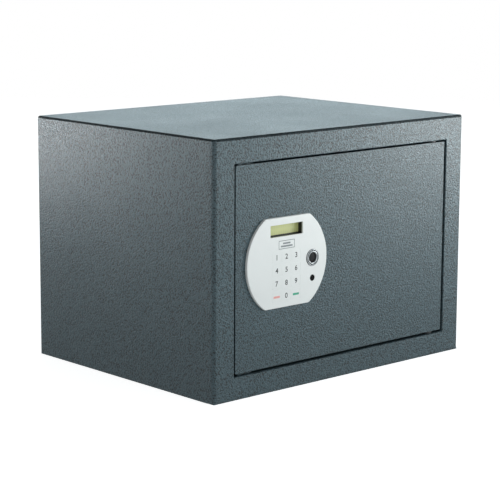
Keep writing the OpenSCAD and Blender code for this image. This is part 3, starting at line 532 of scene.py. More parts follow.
def rounded_copy(node, name, width, key, segments=2, over=30):
    """A copy of a CAD node with its triangles merged into faces and its edges rounded."""
    bm = bmesh.new()
    bm.from_mesh(frame["nodes"][node].data)
    bmesh.ops.remove_doubles(bm, verts=bm.verts, dist=NEAR)
    bmesh.ops.dissolve_limit(
        bm, angle_limit=math.radians(0.5), verts=bm.verts, edges=bm.edges, delimit=set()
    )
    soften(bm, width, segments, over)
    piece = to_piece(bm, name, node, finish(key), [node])
    settle(piece)
    return piece


def repaint(key, *nodes):
    """Gives CAD nodes a procedural material."""
    for node in nodes:
        slots = frame["nodes"][node].data.materials
        slots.clear()
        slots.append(finish(key))


def room(node):
    """The lowest and highest corners and the centre of a CAD node's box."""
    low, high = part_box(node)
    return low, high, (low + high) / 2


# ---- Pieces ----

FINISHES = {}


def recipes(c, s):
    """How each finish is made: its function, its name and what the function is given."""
    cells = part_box("battery_cells")
    relief = (s.relief_cell, s.relief_height)
    # the bend coat is the paint made darker: painted shade on the bends along the roof's edges
    shaded_bend_tints = (shade(c.paint, 0.3), shade(c.painted_pit_shade, 0.5))
    return {
        "relief": (relief_coat, "relief_powder_coat", c.paint, c.painted_pit_shade, *relief),
        "bend": (relief_coat, "thin_coat_on_bends", *shaded_bend_tints, *relief, 0.2),
        "inside": (fine_coat, "fine_powder_coat", c.inside),
        "cover": (fine_coat, "satin_powder_coat", c.cover),
        "zinc": (plated, "zinc_plated_steel", "#B4B8BA", 0.34, (1, 1, 0.2)),
        "screw": (plated, "zinc_plated_screw", "#C2C5C6", 0.3),
        "bright": (turned, "chromed_steel", "#DADCDC", 0.16, "X"),
        "pin": (turned, "turned_steel", "#C4C6C6", 0.24, "Z"),
        "chrome": (turned, "chromed_ring", "#A9ADAF", 0.34, "Y", 0.5 * MM),
        "nylon": (moulded, "natural_nylon", "#D9D4C5", 0.45),
        "white": (moulded, "white_abs", c.fascia, 0.4),
        "red": (moulded, "red_abs", "#A8322C", 0.38),
        "black": (moulded, "black_abs", "#26292B", 0.48, 0.85),
        "bezel": (moulded, "black_polycarbonate", "#121314", 0.35, 0.85),
        # near-black plastic, also used as painted shade in the reader's groove and the contact's
        # socket
        "matt": (moulded, "matt_black_pa", "#0B0C0D", 0.7, 0.85, 0.15),
        "membrane": (moulded, "silicone_keymat", "#3F5F4A", 0.6),
        "lead": (moulded, "pvc_lead", "#A33B34", 0.42, 0.97, 0.5, 0.8 * MM),
        "pad": (moulded, "speckled_pad", "#17191B", 0.5, 0.6, 0.2, 0.8 * MM, 0.02 * MM),
        "rubber": (rubber, "epdm_rubber", "#1E2021"),
        "felt": (needled_felt, "needled_felt", c.felt),
        "board": (circuit_board, "solder_masked_board", "#1F5A3A"),
        "film": (polyimide, "polyimide_film", "#C77B2E"),
        "ink": (printed, "dark_ink", c.ink),
        "ink_black": (printed, "black_ink", "#1A1B1C"),
        "ink_red": (printed, "red_ink", c.ink_red),
        "ink_green": (printed, "green_ink", c.ink_green),
        "ink_grey": (printed, "grey_ink", c.ink_grey),
        "lcd": (liquid_crystal, "liquid_crystal", c.lcd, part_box("display_glass")),
        "cells": (shrink_wrap, "cell_wrap", "#1B1C1E", "#B5703A", cells[0].z, cells[1].z),
    }


def finish(key):
    """The material of that name, made when it is first asked for."""
    if key not in FINISHES:
        scene = bpy.context.scene
        make, name, *given = recipes(scene.safe_colours, scene.safe_sizes)[key]
        given = [linear(v) if isinstance(v, str) and v[0] == "#" else v for v in given]
        FINISHES[key] = make(name, *given)
    return FINISHES[key]


class SAFE_OT_cabinet_shell(bpy.types.Operator):
    """Bends the cabinet's sheet with its front frame and the return round the opening"""

    bl_idname = "safe.cabinet_shell"
    bl_label = "Cabinet shell"

    def execute(self, context):
        s = context.scene.safe_sizes
        low = Vector((*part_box("front_frame")[0].xy, 0))
        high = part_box("cabinet_wrap")[1]
        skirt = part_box("cabinet_wrap")[0].y
        left, right = low.x + s.border_side, high.x - s.border_side
        bottom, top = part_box("thrust_washers")[0].z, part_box("thrust_washers")[1].z
        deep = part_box("front_frame")[1].y
        bm = bmesh.new()
        place = Matrix.Translation((low + high) / 2) @ Matrix.Diagonal((*(high - low), 1))
        bmesh.ops.create_cube(bm, size=1, matrix=place)
        bmesh.ops.bisect_plane(
            bm, geom=bm.verts[:] + bm.edges[:] + bm.faces[:], plane_co=(0, skirt, 0),
            plane_no=BACK,
        )
        hidden = [
            f for f in bm.faces
            if f.normal.y > 0.9 or (f.normal.z < -0.9 and f.calc_center_median().y > skirt)
        ]
        bmesh.ops.delete(bm, geom=hidden, context="FACES")
        front = next(f for f in bm.faces if f.normal.y < -0.9)
        bmesh.ops.inset_region(bm, faces=[front], thickness=s.border_side, use_even_offset=True)
        for v in front.verts:
            v.co.x = left if v.co.x < 0 else right
            v.co.z = bottom if v.co.z < (bottom + top) / 2 else top
        rim = list(front.edges)
        bmesh.ops.delete(bm, geom=[front], context="FACES_ONLY")

        lip = 2 * s.lip_bend
        rim = loop_of(drawn_out(bm, rim, lip))
        latch = [e for e in rim if all(abs(v.co.x - left) < NEAR for v in e.verts)]
        rest = [e for e in rim if e not in latch]
        drawn_out(bm, latch, s.latch_return - lip)
        drawn_out(bm, rest, deep - low.y - lip)
        pin, bush = room("hinge_pins")[2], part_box("hinge_bushes")
        radius = (bush[1].x - bush[0].x) / 2
        for z in (bottom, top):
            flat = [
                f for f in bm.faces
                if all(abs(v.co.z - z) < NEAR and v.co.y > low.y + lip - NEAR for v in f.verts)
            ]
            edges = list(dict.fromkeys(e for f in flat for e in f.edges))
            bmesh.ops.delete(bm, geom=flat, context="FACES_ONLY")
            place = Matrix.Translation((pin.x, pin.y, z))
            ring = bmesh.ops.create_circle(bm, segments=40, radius=radius, matrix=place)["verts"]
            edges += loop_of(ring)
            bmesh.ops.triangle_fill(bm, use_beauty=True, edges=edges)
        bmesh.ops.recalc_face_normals(bm, faces=bm.faces)
        roof = max(bm.faces, key=lambda f: f.calc_center_median().z + f.calc_area())
        if roof.normal.z < 0:
            bmesh.ops.reverse_faces(bm, faces=bm.faces)
        weight = bm.edges.layers.float.new("bevel_weight_edge")
        for e in bm.edges:
            a, b = (v.co for v in e.verts)
            on = lambda axis, at: abs(a[axis] - at) < NEAR and abs(b[axis] - at) < NEAR
            side = on(0, low.x) or on(0, high.x)
            mouth = (on(0, left) or on(0, right) or on(2, bottom) or on(2, top)) and on(1, low.y)
            corner = (on(0, left) or on(0, right)) and (on(2, bottom) or on(2, top))
            bend = (
                s.side_bend if side and on(2, high.z)
                else s.upright_bend if side and on(1, low.y)
                else s.head_bend if on(2, high.z) and on(1, low.y)
                else s.foot_bend if on(2, 0) and (on(1, low.y) or side) and not on(1, skirt)
                else s.lip_bend if mouth
                else s.foot_bend if corner and not e.is_boundary and e.is_manifold
                else 0
            )
            e[weight] = bend / s.side_bend
        piece = to_piece(
            bm, "cabinet_shell", "front_frame", finish("relief"), ["cabinet_wrap", "front_frame"]
        )
        bends = piece.modifiers.new("Bends", "BEVEL")
        bends.width, bends.segments, bends.limit_method = s.side_bend, 6, "WEIGHT"
        bends.use_clamp_overlap = False
        wall = piece.modifiers.new("Sheet", "SOLIDIFY")
        wall.thickness, wall.offset = s.sheet, -1
        settle(piece)
        for v in piece.data.vertices:
            v.co.z = max(v.co.z, CAD_BOX[0].z)
        piece.data.materials.append(finish("bend"))
        # the faces that turn between the flat roof and the upright sides take the darker bend
        # coat: painted shade along the roof's edges
        for face in piece.data.polygons:
            if face.center.z > high.z - s.side_bend and 0.2 < face.normal.z < 0.98:
                face.material_index = 1
        return {"FINISHED"}


class SAFE_OT_cabinet_fittings(bpy.types.Operator):
    """Finishes the base, the back, the hinge plates and the door stops with their buffers"""

    bl_idname = "safe.cabinet_fittings"
    bl_label = "Cabinet fittings"

    def execute(self, context):
        for node, name, coat in (
            ("base_plate", "base_sheet", "inside"), ("back_panel", "back_sheet", "relief"),
            ("hinge_plates", "hinge_blocks", "relief"), ("door_stops", "stop_tabs", "relief"),
        ):
            rounded_copy(node, name, 0.4 * MM, coat)
        low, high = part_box("stop_buffers")
        radius = (high.x - low.x) / 2
        thick = high.y - low.y
        bm = bmesh.new()
        for z in (low.z + radius, high.z - radius):
            spun(
                bm,
                [(0, 0), (radius * 0.6, 0.15 * thick), (radius * 0.88, 0.3 * thick),
                 (radius, 0.6 * thick), (radius, thick), (0, thick)],
                "Y", (low.x + radius, low.y, z), 32,
            )
        to_piece(bm, "rubber_buffers", "stop_buffers", finish("rubber"), ["stop_buffers"])
        return {"FINISHED"}


class SAFE_OT_floor_mat(bpy.types.Operator):
    """Cuts the felt mat with its four holes and rounds its edges"""

    bl_idname = "safe.floor_mat"
    bl_label = "Floor mat"

    def execute(self, context):
        piece = rounded_copy("floor_mat", "felt_mat", 1.2 * MM, "felt", 4)
        return {"FINISHED"}


class SAFE_OT_hinges(bpy.types.Operator):
    """Turns the hinge pins, their bushes and washers, and finishes the lugs"""

    bl_idname = "safe.hinges"
    bl_label = "Hinges"

    def execute(self, context):
        rounded_copy("hinge_bushes", "hinge_sleeves", 0.3 * MM, "nylon")
        rounded_copy("thrust_washers", "slide_washers", 0.3 * MM, "black")
        rounded_copy("hinge_lugs", "welded_lugs", 0.8 * MM, "relief")
        rounded_copy("hinge_pins", "turned_pins", 0.6 * MM, "pin", 3)
        return {"FINISHED"}


class SAFE_OT_door_plate(bpy.types.Operator):
    """Finishes the door plate with rounded edges and the relief coat"""

    bl_idname = "safe.door_plate"
    bl_label = "Door plate"

    def execute(self, context):
        edge = context.scene.safe_sizes.door_round
        rounded_copy("door_plate", "door_leaf", edge, "relief", 3)
        return {"FINISHED"}


def round_rectangle(bm, centre, width, height, radius, y, segments=5):
    """Adds an upright rectangle with round corners, without a face; returns its vertices."""
    place = along_y(centre[0], y, centre[1]) @ Matrix.Diagonal((width, height, 1, 1))
    start = set(bm.verts)
    bmesh.ops.create_grid(bm, x_segments=1, y_segments=1, size=0.5, matrix=place)
    made = [v for v in bm.verts if v not in start]
    bmesh.ops.delete(bm, geom=list(made[0].link_faces), context="FACES_ONLY")
    if radius:
        bmesh.ops.bevel(
            bm, geom=made, offset=radius, offset_type="OFFSET", segments=segments,
            profile=0.5, affect="VERTICES", material=-1,
        )
    return [v for v in bm.verts if v not in start]


def slab(bm, node, corner, rim, segments=2):
    """Adds an upright plate that fills a CAD node's box, with round corners and a round rim."""
    low, high, mid = room(node)
    ring = round_rectangle(bm, mid.xz, high.x - low.x, high.z - low.z, corner, low.y)
    face = bmesh.ops.contextual_create(bm, geom=loop_of(ring))["faces"][0]
    thicken(bm, [face], high.y - low.y)
    soften(bm, rim, segments, edges=loop_of(ring))


def opening(bm, node, gap, corner, y):
    """Adds the outline of an opening round a CAD node's box and returns its edges."""
    low, high, mid = room(node)
    wide, tall = high.x - low.x + 2 * gap, high.z - low.z + 2 * gap
    return loop_of(round_rectangle(bm, mid.xz, wide, tall, corner, y))


class SAFE_OT_fascia(bpy.types.Operator):
    """Moulds the fascia: a disc cut by two flats, with openings for keys, display and reader"""

    bl_idname = "safe.fascia"
    bl_label = "Fascia"

    def execute(self, context):
        s = context.scene.safe_sizes
        low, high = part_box("fascia")
        x, front = (low.x + high.x) / 2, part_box("badge")[0].y
        z, radius = (low.z + high.z) / 2, (high.x - low.x) / 2
        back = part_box("door_plate")[0].y
        bm = bmesh.new()
        bmesh.ops.create_circle(
            bm, cap_ends=True, segments=180, radius=radius, matrix=along_y(x, front, z)
        )
        for edge, way in ((low.z, -1), (high.z, 1)):
            bmesh.ops.bisect_plane(
                bm, geom=bm.verts[:] + bm.edges[:] + bm.faces[:], plane_co=(0, 0, edge),
                plane_no=(0, 0, way), clear_outer=True,
            )
        corners = [
            v for v in bm.verts if any(abs(v.co.z - edge) < NEAR for edge in (low.z, high.z))
        ]
        crowded = [
            v for v in bm.verts
            if v not in corners
            and min((v.co - c.co).length for c in corners) < 1.6 * s.fascia_corner
        ]
        bmesh.ops.dissolve_verts(bm, verts=crowded)
        bmesh.ops.bevel(
            bm, geom=corners, offset=s.fascia_corner, offset_type="OFFSET", segments=8,
            profile=0.5, affect="VERTICES", material=-1,
        )
        cap = bm.faces[:][0]
        drawn_out(bm, list(cap.edges), back - front)
        bmesh.ops.recalc_face_normals(bm, faces=bm.faces)
        soften(bm, s.fascia_rim, 5, edges=list(cap.edges))
        cap = max(bm.faces, key=lambda f: f.calc_area())
        fill = list(cap.edges)
        bmesh.ops.delete(bm, geom=[cap], context="FACES_ONLY")
        for node in KEYS:
            fill += opening(bm, node, s.key_seam, KEY_CORNER, front)
        left, right, bottom, top = window_box()
        window = loop_of(round_rectangle(
            bm, ((left + right) / 2, (bottom + top) / 2), right - left, top - bottom,
            0.4 * MM, front, 2,
        ))
        fill += window + opening(bm, "badge", GAP / 2, BADGE_CORNER, front)
        for node, radius in (("reader_pad", s.reader_hole), ("power_contact", None)):
            low, high, mid = room(node)
            hole = bmesh.ops.create_circle(
                bm, segments=48, radius=radius or (high.x - low.x) / 2 + GAP,
                matrix=along_y(mid.x, front, mid.z),
            )["verts"]
            fill += loop_of(hole)
        bmesh.ops.triangle_fill(bm, use_beauty=True, edges=fill)
        drawn_out(bm, window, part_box("display_bezel")[0].y - front)
        bmesh.ops.recalc_face_normals(bm, faces=bm.faces)
        broad = max(bm.faces, key=lambda f: f.calc_area())
        if broad.normal.y > 0:
            bmesh.ops.reverse_faces(bm, faces=bm.faces)
        piece = to_piece(bm, "fascia_shell", "fascia", finish("white"), ["fascia"])
        wall = piece.modifiers.new("Wall", "SOLIDIFY")
        wall.thickness, wall.offset, wall.use_even_offset = s.fascia_wall, -1, True
        settle(piece, 30)
        return {"FINISHED"}


def window_box():
    """Left, right, bottom and top of the display window, inside the bezel's wall."""
    low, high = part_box("display_glass")
    lap = 3.0 * MM  # of the fascia over the display's edge
    return low.x + lap, high.x - lap, low.z + lap, high.z - lap


class SAFE_OT_keys(bpy.types.Operator):
    """Moulds the keys and prints their digits and the two coloured bars"""

    bl_idname = "safe.keys"
    bl_label = "Keys"

    def execute(self, context):
        s = context.scene.safe_sizes
        for node in KEYS:
            low, _, mid = room(node)
            mark = node.split("_")[1]
            bm = bmesh.new()
            slab(bm, node, KEY_CORNER, 0.05 * MM, 1)
            settle(to_piece(bm, "cap_" + mark, node, finish("white"), [node]))
            bm = bmesh.new()
            if mark.isdigit():
                self.print_digit(bm, mark, mid, low.y, s.digit)
                ink = "ink"
            else:
                ink = "ink_red" if mark == "clear" else "ink_green"
                print_band(bm, mid, -0.3 * MM, 10.5 * MM, 2.7 * MM, 0.4 * MM, low.y - LIFT)
                print_on(bm)
            to_piece(bm, "print_" + mark, node, finish(ink))
        return {"FINISHED"}

    def print_digit(self, bm, mark, mid, y, height):
        """A digit's mesh, scaled to its height and stood on the key's face."""
        curve = bpy.data.curves.new("digit", "FONT")
        curve.body = mark
        curve.align_x = "CENTER"
        curve.offset = 0.018  # of the font's size, which makes the strokes bolder
        curve.resolution_u = 6
        text = bpy.data.objects.new("digit", curve)
        bpy.context.scene.collection.objects.link(text)
        graph = bpy.context.evaluated_depsgraph_get()
        flat = bpy.data.meshes.new_from_object(text.evaluated_get(graph))
        bpy.data.objects.remove(text)
        bm.from_mesh(flat)
        bmesh.ops.remove_doubles(bm, verts=bm.verts, dist=1e-5)
        xs, ys = [v.co.x for v in bm.verts], [v.co.y for v in bm.verts]
        scale = height / (max(ys) - min(ys))
        centre = Vector(((max(xs) + min(xs)) / 2, (max(ys) + min(ys)) / 2, 0))
        for v in bm.verts:
            v.co = (v.co - centre) * scale
        bmesh.ops.transform(bm, verts=bm.verts, matrix=along_y(mid.x, y - LIFT, mid.z))
        print_on(bm)


def print_band(bm, mid, rise, width, height, corner, y):
    """Adds a plain printed band, in place of a word or a mark."""
    ring = round_rectangle(bm, (mid.x, mid.z + rise), width, height, corner, y)
    bmesh.ops.contextual_create(bm, geom=loop_of(ring))


def print_on(bm):
    """Gives flat upright print the thickness of its ink and turns it to the front."""
    bmesh.ops.recalc_face_normals(bm, faces=bm.faces)
    thicken(bm, bm.faces[:], INK)


def print_frame(bm, outer, inner):
    """Fills the space between two outlines as print."""
    bmesh.ops.bridge_loops(bm, edges=loop_of(outer) + loop_of(inner))


class SAFE_OT_display(bpy.types.Operator):
    """Finishes the display's bezel and makes its liquid crystal window"""

    bl_idname = "safe.display"
    bl_label = "Display"

    def execute(self, context):
        rounded_copy("display_bezel", "bezel_frame", 0.2 * MM, "bezel")
        bm = bmesh.new()
        slab(bm, "display_glass", 0.8 * MM, 0.2 * MM)
        settle(to_piece(bm, "lcd_window", "display_glass", finish("lcd"), ["display_glass"]))
        left, right, bottom, top = window_box()
        centre = ((left + right) / 2, (bottom + top) / 2)
        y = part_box("display_glass")[0].y - LIFT
        side, sill, head = 0.3 * MM, 1.3 * MM, 0.6 * MM
        bm = bmesh.new()
        outer = round_rectangle(bm, centre, right - left, top - bottom, 0.2 * MM, y, 2)
        inner = round_rectangle(
            bm, (centre[0], centre[1] + (sill - head) / 2), right - left - 2 * side,
            top - bottom - sill - head, 0.2 * MM, y, 2,
        )
        print_frame(bm, outer, inner)
        print_on(bm)
        to_piece(bm, "lcd_mask", "display_bezel", finish("ink_black"))
        return {"FINISHED"}


class SAFE_OT_badge(bpy.types.Operator):
    """Makes the blank badge with a printed outline and plain bands"""

    bl_idname = "safe.badge"
    bl_label = "Blank badge"

    def execute(self, context):
        low, high, mid = room("badge")
        bm = bmesh.new()
        slab(bm, "badge", BADGE_CORNER, 0.1 * MM)
        settle(to_piece(bm, "badge_plate", "badge", finish("white"), ["badge"]))
        bm = bmesh.new()
        y, margin, line = low.y - LIFT, 0.6 * MM, 0.8 * MM
        full = high.x - low.x
        wide, tall = full - margin, high.z - low.z - margin
        outer = round_rectangle(bm, mid.xz, wide, tall, 0.6 * MM, y)
        inner = round_rectangle(bm, mid.xz, wide - 2 * line, tall - 2 * line, 0.3 * MM, y)
        print_frame(bm, outer, inner)
        for rise, share in ((1.5 * MM, 0.46), (-2.0 * MM, 0.72)):
            print_band(bm, mid, rise, full * share, 2.1 * MM, 0.3 * MM, y)
        print_on(bm)
        to_piece(bm, "badge_print", "badge", finish("ink_grey"))
        return {"FINISHED"}


class SAFE_OT_reader(bpy.types.Operator):
    """Turns the reader's bright ring, its speckled pad and the power contact"""

    bl_idname = "safe.reader"
    bl_label = "Reader"

    def execute(self, context):
        low, high, mid = room("reader_ring")
        pad_low, pad_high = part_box("reader_pad")
        rim, face = (high.x - low.x) / 2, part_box("badge")[0].y
        barrel = context.scene.safe_sizes.reader_barrel
        proud, pad = face - low.y, (pad_high.x - pad_low.x) / 2
        inner = pad + GAP
        width = rim - inner
        # the ring's section, from its bore outwards, in shares of its width and its height
        section = (
            (0, 0.55), (0.1, 0.2), (0.2, 0), (0.42, 0.1), (0.5, 0.5), (0.56, 0.5),
            (0.66, 0.12), (0.8, 0.04), (0.93, 0.35), (1, 0.8),
        )
        profile = [(inner, high.y)]
        profile += [(inner + out * width, low.y + back * proud) for out, back in section]
        profile += [(rim, face), (barrel, face), (barrel, high.y)]
        bm = bmesh.new()
        spun(bm, profile, "Y", (mid.x, 0, mid.z), 72, closed=True)
        # the groove across the ring and its outer edge take matt black: painted shade, drawn as
        # dark lines on the bright ring
        groove = inner + 0.53 * width
        for f in bm.faces:
            reach = (f.calc_center_median().xz - mid.xz).length
            if abs(reach - groove) < 0.09 * width or reach > rim - 0.13 * width:
                f.material_index = 1
        finishes = [finish("chrome"), finish("matt")]
        to_piece(bm, "reader_bezel", "reader_ring", finishes, ["reader_ring"], 50)
        bm = bmesh.new()
        dome = ((0, 0), (0.55, 0.03 * MM), (0.85, 0.12 * MM), (0.97, 0.3 * MM), (1, 0.6 * MM))
        profile = [(share * pad, pad_low.y + back) for share, back in dome]
        spun(bm, profile + [(pad, pad_high.y), (0, pad_high.y)], "Y", (mid.x, 0, mid.z), 56)
        to_piece(bm, "reader_lens", "reader_pad", finish("pad"), ["reader_pad"], 50)
        # the contact's near-black is its black plastic and also painted shade for a deep socket
        rounded_copy("power_contact", "contact_socket", 0.25 * MM, "matt")
        return {"FINISHED"}


def hex_screw(bm, x, z, under, top, head, shank, tip):
    """A pan-head screw along Y with a hexagon recess; the head's top faces +Y."""
    rise = top - under
    outline = [
        (0, tip), (shank * 0.5, tip), (shank, tip + 0.6 * MM), (shank, under), (head, under),
        (head, under + 0.45 * rise), (head * 0.9, under + 0.75 * rise),
        (head * 0.72, under + 0.93 * rise), (head * 0.52, top),
    ]
    start = set(bm.verts)
    spun(bm, outline, "Y", (x, 0, z), 30)
    mouth = [v for v in bm.verts if v not in start and abs(v.co.y - top) < 0.1 * NEAR]
    hexagon = bmesh.ops.create_circle(
        bm, segments=6, radius=head * 0.46, matrix=along_y(x, top, z)
    )["verts"]
    bmesh.ops.bridge_loops(bm, edges=loop_of(mouth) + loop_of(hexagon))
    floor = drawn_out(bm, loop_of(hexagon), -0.6 * rise)
    bmesh.ops.contextual_create(bm, geom=loop_of(floor))
    bmesh.ops.recalc_face_normals(bm, faces=bm.faces)


class SAFE_OT_bolt_work(bpy.types.Operator):
    """Finishes the bolts, the bar that joins them, their channel, bushes and switch"""

    bl_idname = "safe.bolt_work"
    bl_label = "Bolt work"

    def execute(self, context):
        low, high, mid = room("locking_bolts")
        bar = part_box("bolt_bar")[0].x
        thick = (high.y - low.y) / 2
        bm = bmesh.new()
        for z in (low.z + thick, high.z - thick):
            spun(
                bm,
                [(0, low.x), (thick - 2.2 * MM, low.x), (thick - 1.5 * MM, low.x + 0.15 * MM),
                 (thick - 0.4 * MM, low.x + 1.0 * MM), (thick, low.x + 1.9 * MM),
                 (thick, bar), (thick - 4 * MM, bar), (thick - 4 * MM, high.x - 2 * MM),
                 (thick - 2.6 * MM, high.x - 2 * MM), (thick - 2.6 * MM, high.x - 0.5 * MM),
                 (thick - 3.4 * MM, high.x), (0, high.x)],
                "X", (0, mid.y, z), 64,
            )
        to_piece(bm, "round_bolts", "locking_bolts", finish("bright"), ["locking_bolts"], 30)
        rounded_copy("bolt_channel", "bolt_guide", 0.5 * MM, "zinc")
        rounded_copy("guide_bushes", "bolt_bushes", 0.3 * MM, "nylon")
        rounded_copy("bolt_bar", "carriage_bar", 0.25 * MM, "zinc", 1)
        rounded_copy("rack_guide", "rack_block", 0.4 * MM, "nylon")
        rounded_copy("bolt_switch", "switch_case", 0.4 * MM, "black")
        return {"FINISHED"}


class SAFE_OT_drive(bpy.types.Operator):
    """Finishes the gearbox, motor, strap and pinion"""

    bl_idname = "safe.drive"
    bl_label = "Drive"

    def execute(self, context):
        rounded_copy("gearbox", "gearbox_case", 0.8 * MM, "black")
        rounded_copy("motor", "motor_can", 0.7 * MM, "zinc", 3)
        rounded_copy("motor_strap", "strap_band", 0.3 * MM, "zinc")
        rounded_copy("pinion", "pinion_gear", 0.12 * MM, "nylon", 1, 40)
        return {"FINISHED"}


class SAFE_OT_electronics(bpy.types.Operator):
    """Gives the boards, leads, spacers and small metal parts their finishes"""

    bl_idname = "safe.electronics"
    bl_label = "Electronics"

    def execute(self, context):
        repaint("board", "control_board", "display_board")
        repaint("lead", "motor_lead", "battery_lead")
        repaint("zinc", "board_screws", "push_nuts", "panel_nuts", "cover_posts")
        repaint("nylon", "board_spacers")
        repaint("membrane", "key_membrane")
        repaint("film", "membrane_tail")
        return {"FINISHED"}


class SAFE_OT_battery_box(bpy.types.Operator):
    """Finishes the battery tray, its cells and contacts, and the sliding cover"""

    bl_idname = "safe.battery_box"
    bl_label = "Battery box"

    def execute(self, context):
        rounded_copy("battery_tray", "cell_tray", 0.3 * MM, "black")
        rounded_copy("battery_cover", "cell_cover", 0.35 * MM, "black")
        repaint("cells", "battery_cells")
        repaint("zinc", "battery_contacts")
        return {"FINISHED"}


class SAFE_OT_inner_cover(bpy.types.Operator):
    """Finishes the inner cover, its screws and the reset button"""

    bl_idname = "safe.inner_cover"
    bl_label = "Inner cover"

    def execute(self, context):
        rounded_copy("inner_cover", "cover_tray", 0.5 * MM, "cover", 3)
        low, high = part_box("cover_screws")
        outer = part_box("inner_cover")[1].y
        head, shank = 3.0 * MM, 1.5 * MM  # radii
        bm = bmesh.new()
        for x, z in screw_places():
            hex_screw(bm, x, z, outer, high.y, head, shank, low.y)
        to_piece(bm, "pan_screws", "cover_screws", finish("screw"), ["cover_screws"], 30)
        low, high, mid = room("reset_button")
        r = (high.x - low.x) / 2
        bm = bmesh.new()
        spun(
            bm,
            [(0, low.y), (r, low.y), (r, high.y - 0.5 * MM), (r - 0.15 * MM, high.y - 0.15 * MM),
             (r - 0.5 * MM, high.y), (r * 0.5, high.y - 0.12 * MM), (0, high.y - 0.2 * MM)],
            "Y", (mid.x, 0, mid.z), 40,
        )
        to_piece(bm, "push_button", "reset_button", finish("red"), ["reset_button"], 30)
        return {"FINISHED"}


def screw_places():
    """Centres of the cover screws, found from the separate shells of their CAD node."""
    points = [v.co for v in frame["nodes"]["cover_screws"].data.vertices]
    groups = []
    for p in points:
        for g in groups:
            if abs(g[0] - p.x) < 4 * MM and abs(g[1] - p.z) < 4 * MM:
                break
        else:
            near = [q for q in points if (q.xz - p.xz).length < 7 * MM]
            xs, zs = [q.x for q in near], [q.z for q in near]
            groups.append(((min(xs) + max(xs)) / 2, (min(zs) + max(zs)) / 2))
    return groups


# ---- Studio ----


def panel_light(name, place, spot, size, power, tint, beam):
    """A soft box aimed at a spot; a grid before it may narrow its beam, in degrees."""
    data = bpy.data.lights.new(name, "AREA")
    data.size, data.energy, data.color = size, power, tint
    data.spread = math.radians(beam)
    light = bpy.data.objects.new(name, data)
    light.location = place
    light.visible_camera = False
    light.rotation_euler = (Vector(spot) - light.location).to_track_quat("-Z", "Y").to_euler()
    bpy.context.scene.collection.objects.link(light)


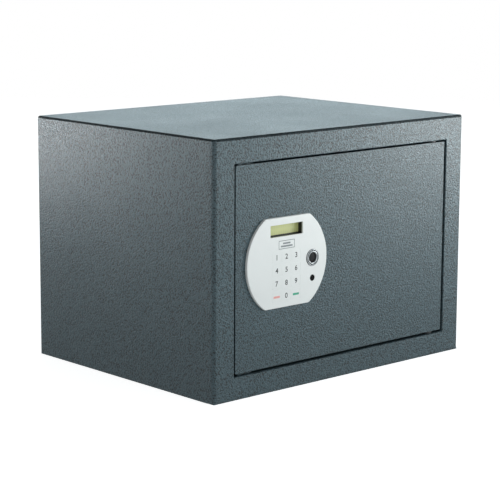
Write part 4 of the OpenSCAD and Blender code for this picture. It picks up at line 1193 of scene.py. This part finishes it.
class SAFE_OT_stage(bpy.types.Operator):
    """Sets up the floor, the soft light and the camera"""

    bl_idname = "safe.stage"
    bl_label = "Studio"

    def execute(self, context):
        scene, c = context.scene, context.scene.safe_colours
        scene.view_settings.view_transform = "Standard"
        bm = bmesh.new()
        bmesh.ops.create_circle(bm, cap_ends=True, segments=96, radius=4)
        bmesh.ops.translate(bm, verts=bm.verts, vec=(0, 0, CAD_BOX[0].z))
        mesh = bpy.data.meshes.new("studio_floor")
        bm.to_mesh(mesh)
        bm.free()
        floor = bpy.data.objects.new("studio_floor", mesh)
        scene.collection.objects.link(floor)
        paper = Finish(
            "matt_paper", Roughness=0.9, Specular_IOR_Level=0.1, Emission_Color=(1, 1, 1, 1)
        )
        tone = paper.add(NOISE, {"Vector": paper.place, "Scale": 0.5, "Detail": 2.0}, "Fac")
        away = paper.add(VECTOR, {0: paper.place}, "Value", operation="LENGTH")
        fade = {"From Min": 1.0, "From Max": 3.6, "To Min": 1.0, "To Max": 0.0}
        paper.into("Alpha", paper.add(RANGE, {"Value": away, **fade}, "Result"))
        glow = {0: paper.add(RAYS, {}, "Is Camera Ray"), 1: 0.55, 2: 0.25}
        paper.into("Emission Strength", paper.add(MATH, glow, operation="MULTIPLY_ADD"))
        tints = (tone, (0.2, shade(c.floor, 0.985)), (0.8, c.floor))
        mesh.materials.append(paper.done(tints))
        world = bpy.data.worlds.new("studio")
        world.use_nodes = True
        tree = world.node_tree
        up = add(tree, SPLIT, {"Vector": add(tree, PLACE, {}, "Generated")}, "Z")
        dusk = {"From Min": 0.0, "From Max": 0.5, "To Min": 0.8, "To Max": 0.24}
        lit = {0: add(tree, RANGE, {"Value": up, **dusk}, "Result")}
        lit[1] = add(tree, RAYS, {}, "Is Camera Ray")
        strength = add(tree, MATH, lit, operation="MAXIMUM")
        sky = tree.nodes["Background"]
        sky.inputs["Color"].default_value = (1, 1, 1, 1)
        tree.links.new(strength, sky.inputs["Strength"])
        scene.world = world
        centre = (CAD_BOX[0] + CAD_BOX[1]) / 2
        # name, place, spot, width in metres, watts, tint and beam in degrees
        for light in (
            ("back_left", (-0.55, 0.7, 0.3), (-0.22, 0.2, 0.42), 0.3, 0.42, (1, 0.97, 0.96), 50),
            ("front_right", (0.85, -0.74, 0.3), (0.3, -0.18, 0.42), 0.3, 1, (1, 0.98, 0.96), 56),
            ("front", (-0.5, -2.6, 0.8), centre, 2.2, 15, (0.9, 0.98, 1), 180),
            ("left_low", (-1.6, 1.9, 0.12), centre, 1.0, 8, (0.88, 0.97, 1), 180),
            ("front_low", (1.9, -1.9, 0.7), centre, 2.2, 24, (0.84, 0.97, 1), 180),
            ("behind", (2.6, 2.9, 1.1), centre, 2.2, 28, (0.7, 0.92, 1), 180),
        ):
            panel_light(*light)
        data = bpy.data.cameras.new("camera")
        data.sensor_width, data.lens = 36.0, 127.3
        data.shift_x, data.shift_y = 0.0252, -0.05
        data.clip_start, data.clip_end = 0.05, 200
        camera = bpy.data.objects.new("camera", data)
        camera.location = (-1.5772, -1.7129, 0.5659)
        yaw, pitch, roll = (math.radians(a) for a in (42.169, 9.59, 0.22))
        camera.rotation_euler = (
            Matrix.Rotation(-yaw, 3, "Z") @ Matrix.Rotation(math.pi / 2 - pitch, 3, "X")
            @ Matrix.Rotation(roll, 3, "Z")
        ).to_euler()
        scene.collection.objects.link(camera)
        scene.camera = camera
        return {"FINISHED"}


# ---- Add-on ----

OPERATORS = (
    SAFE_OT_cabinet_shell, SAFE_OT_cabinet_fittings, SAFE_OT_floor_mat, SAFE_OT_hinges,
    SAFE_OT_door_plate, SAFE_OT_fascia, SAFE_OT_keys, SAFE_OT_display, SAFE_OT_badge,
    SAFE_OT_reader, SAFE_OT_bolt_work, SAFE_OT_drive, SAFE_OT_electronics,
    SAFE_OT_battery_box, SAFE_OT_inner_cover, SAFE_OT_stage,
)


class SAFE_PT_panel(bpy.types.Panel):
    """Lists the safe's sizes, colours and pieces in the sidebar"""

    bl_label = "In-room safe"
    bl_idname = "SAFE_PT_panel"
    bl_space_type = "VIEW_3D"
    bl_region_type = "UI"
    bl_category = "Safe"

    def draw(self, context):
        for group in (context.scene.safe_sizes, context.scene.safe_colours):
            for key in group.__annotations__:
                self.layout.prop(group, key)
        for operator in OPERATORS:
            self.layout.operator(operator.bl_idname)


CLASSES = (SafeSizes, SafeColours, *OPERATORS, SAFE_PT_panel)


def register():
    for cls in CLASSES:
        bpy.utils.register_class(cls)
    bpy.types.Scene.safe_sizes = PointerProperty(type=SafeSizes)
    bpy.types.Scene.safe_colours = PointerProperty(type=SafeColours)


def unregister():
    del bpy.types.Scene.safe_colours
    del bpy.types.Scene.safe_sizes
    for cls in reversed(CLASSES):
        bpy.utils.unregister_class(cls)


def main():
    register()
    for operator in OPERATORS:
        group, name = operator.bl_idname.split(".")
        getattr(getattr(bpy.ops, group), name)()


if __name__ == "__main__":
    main()
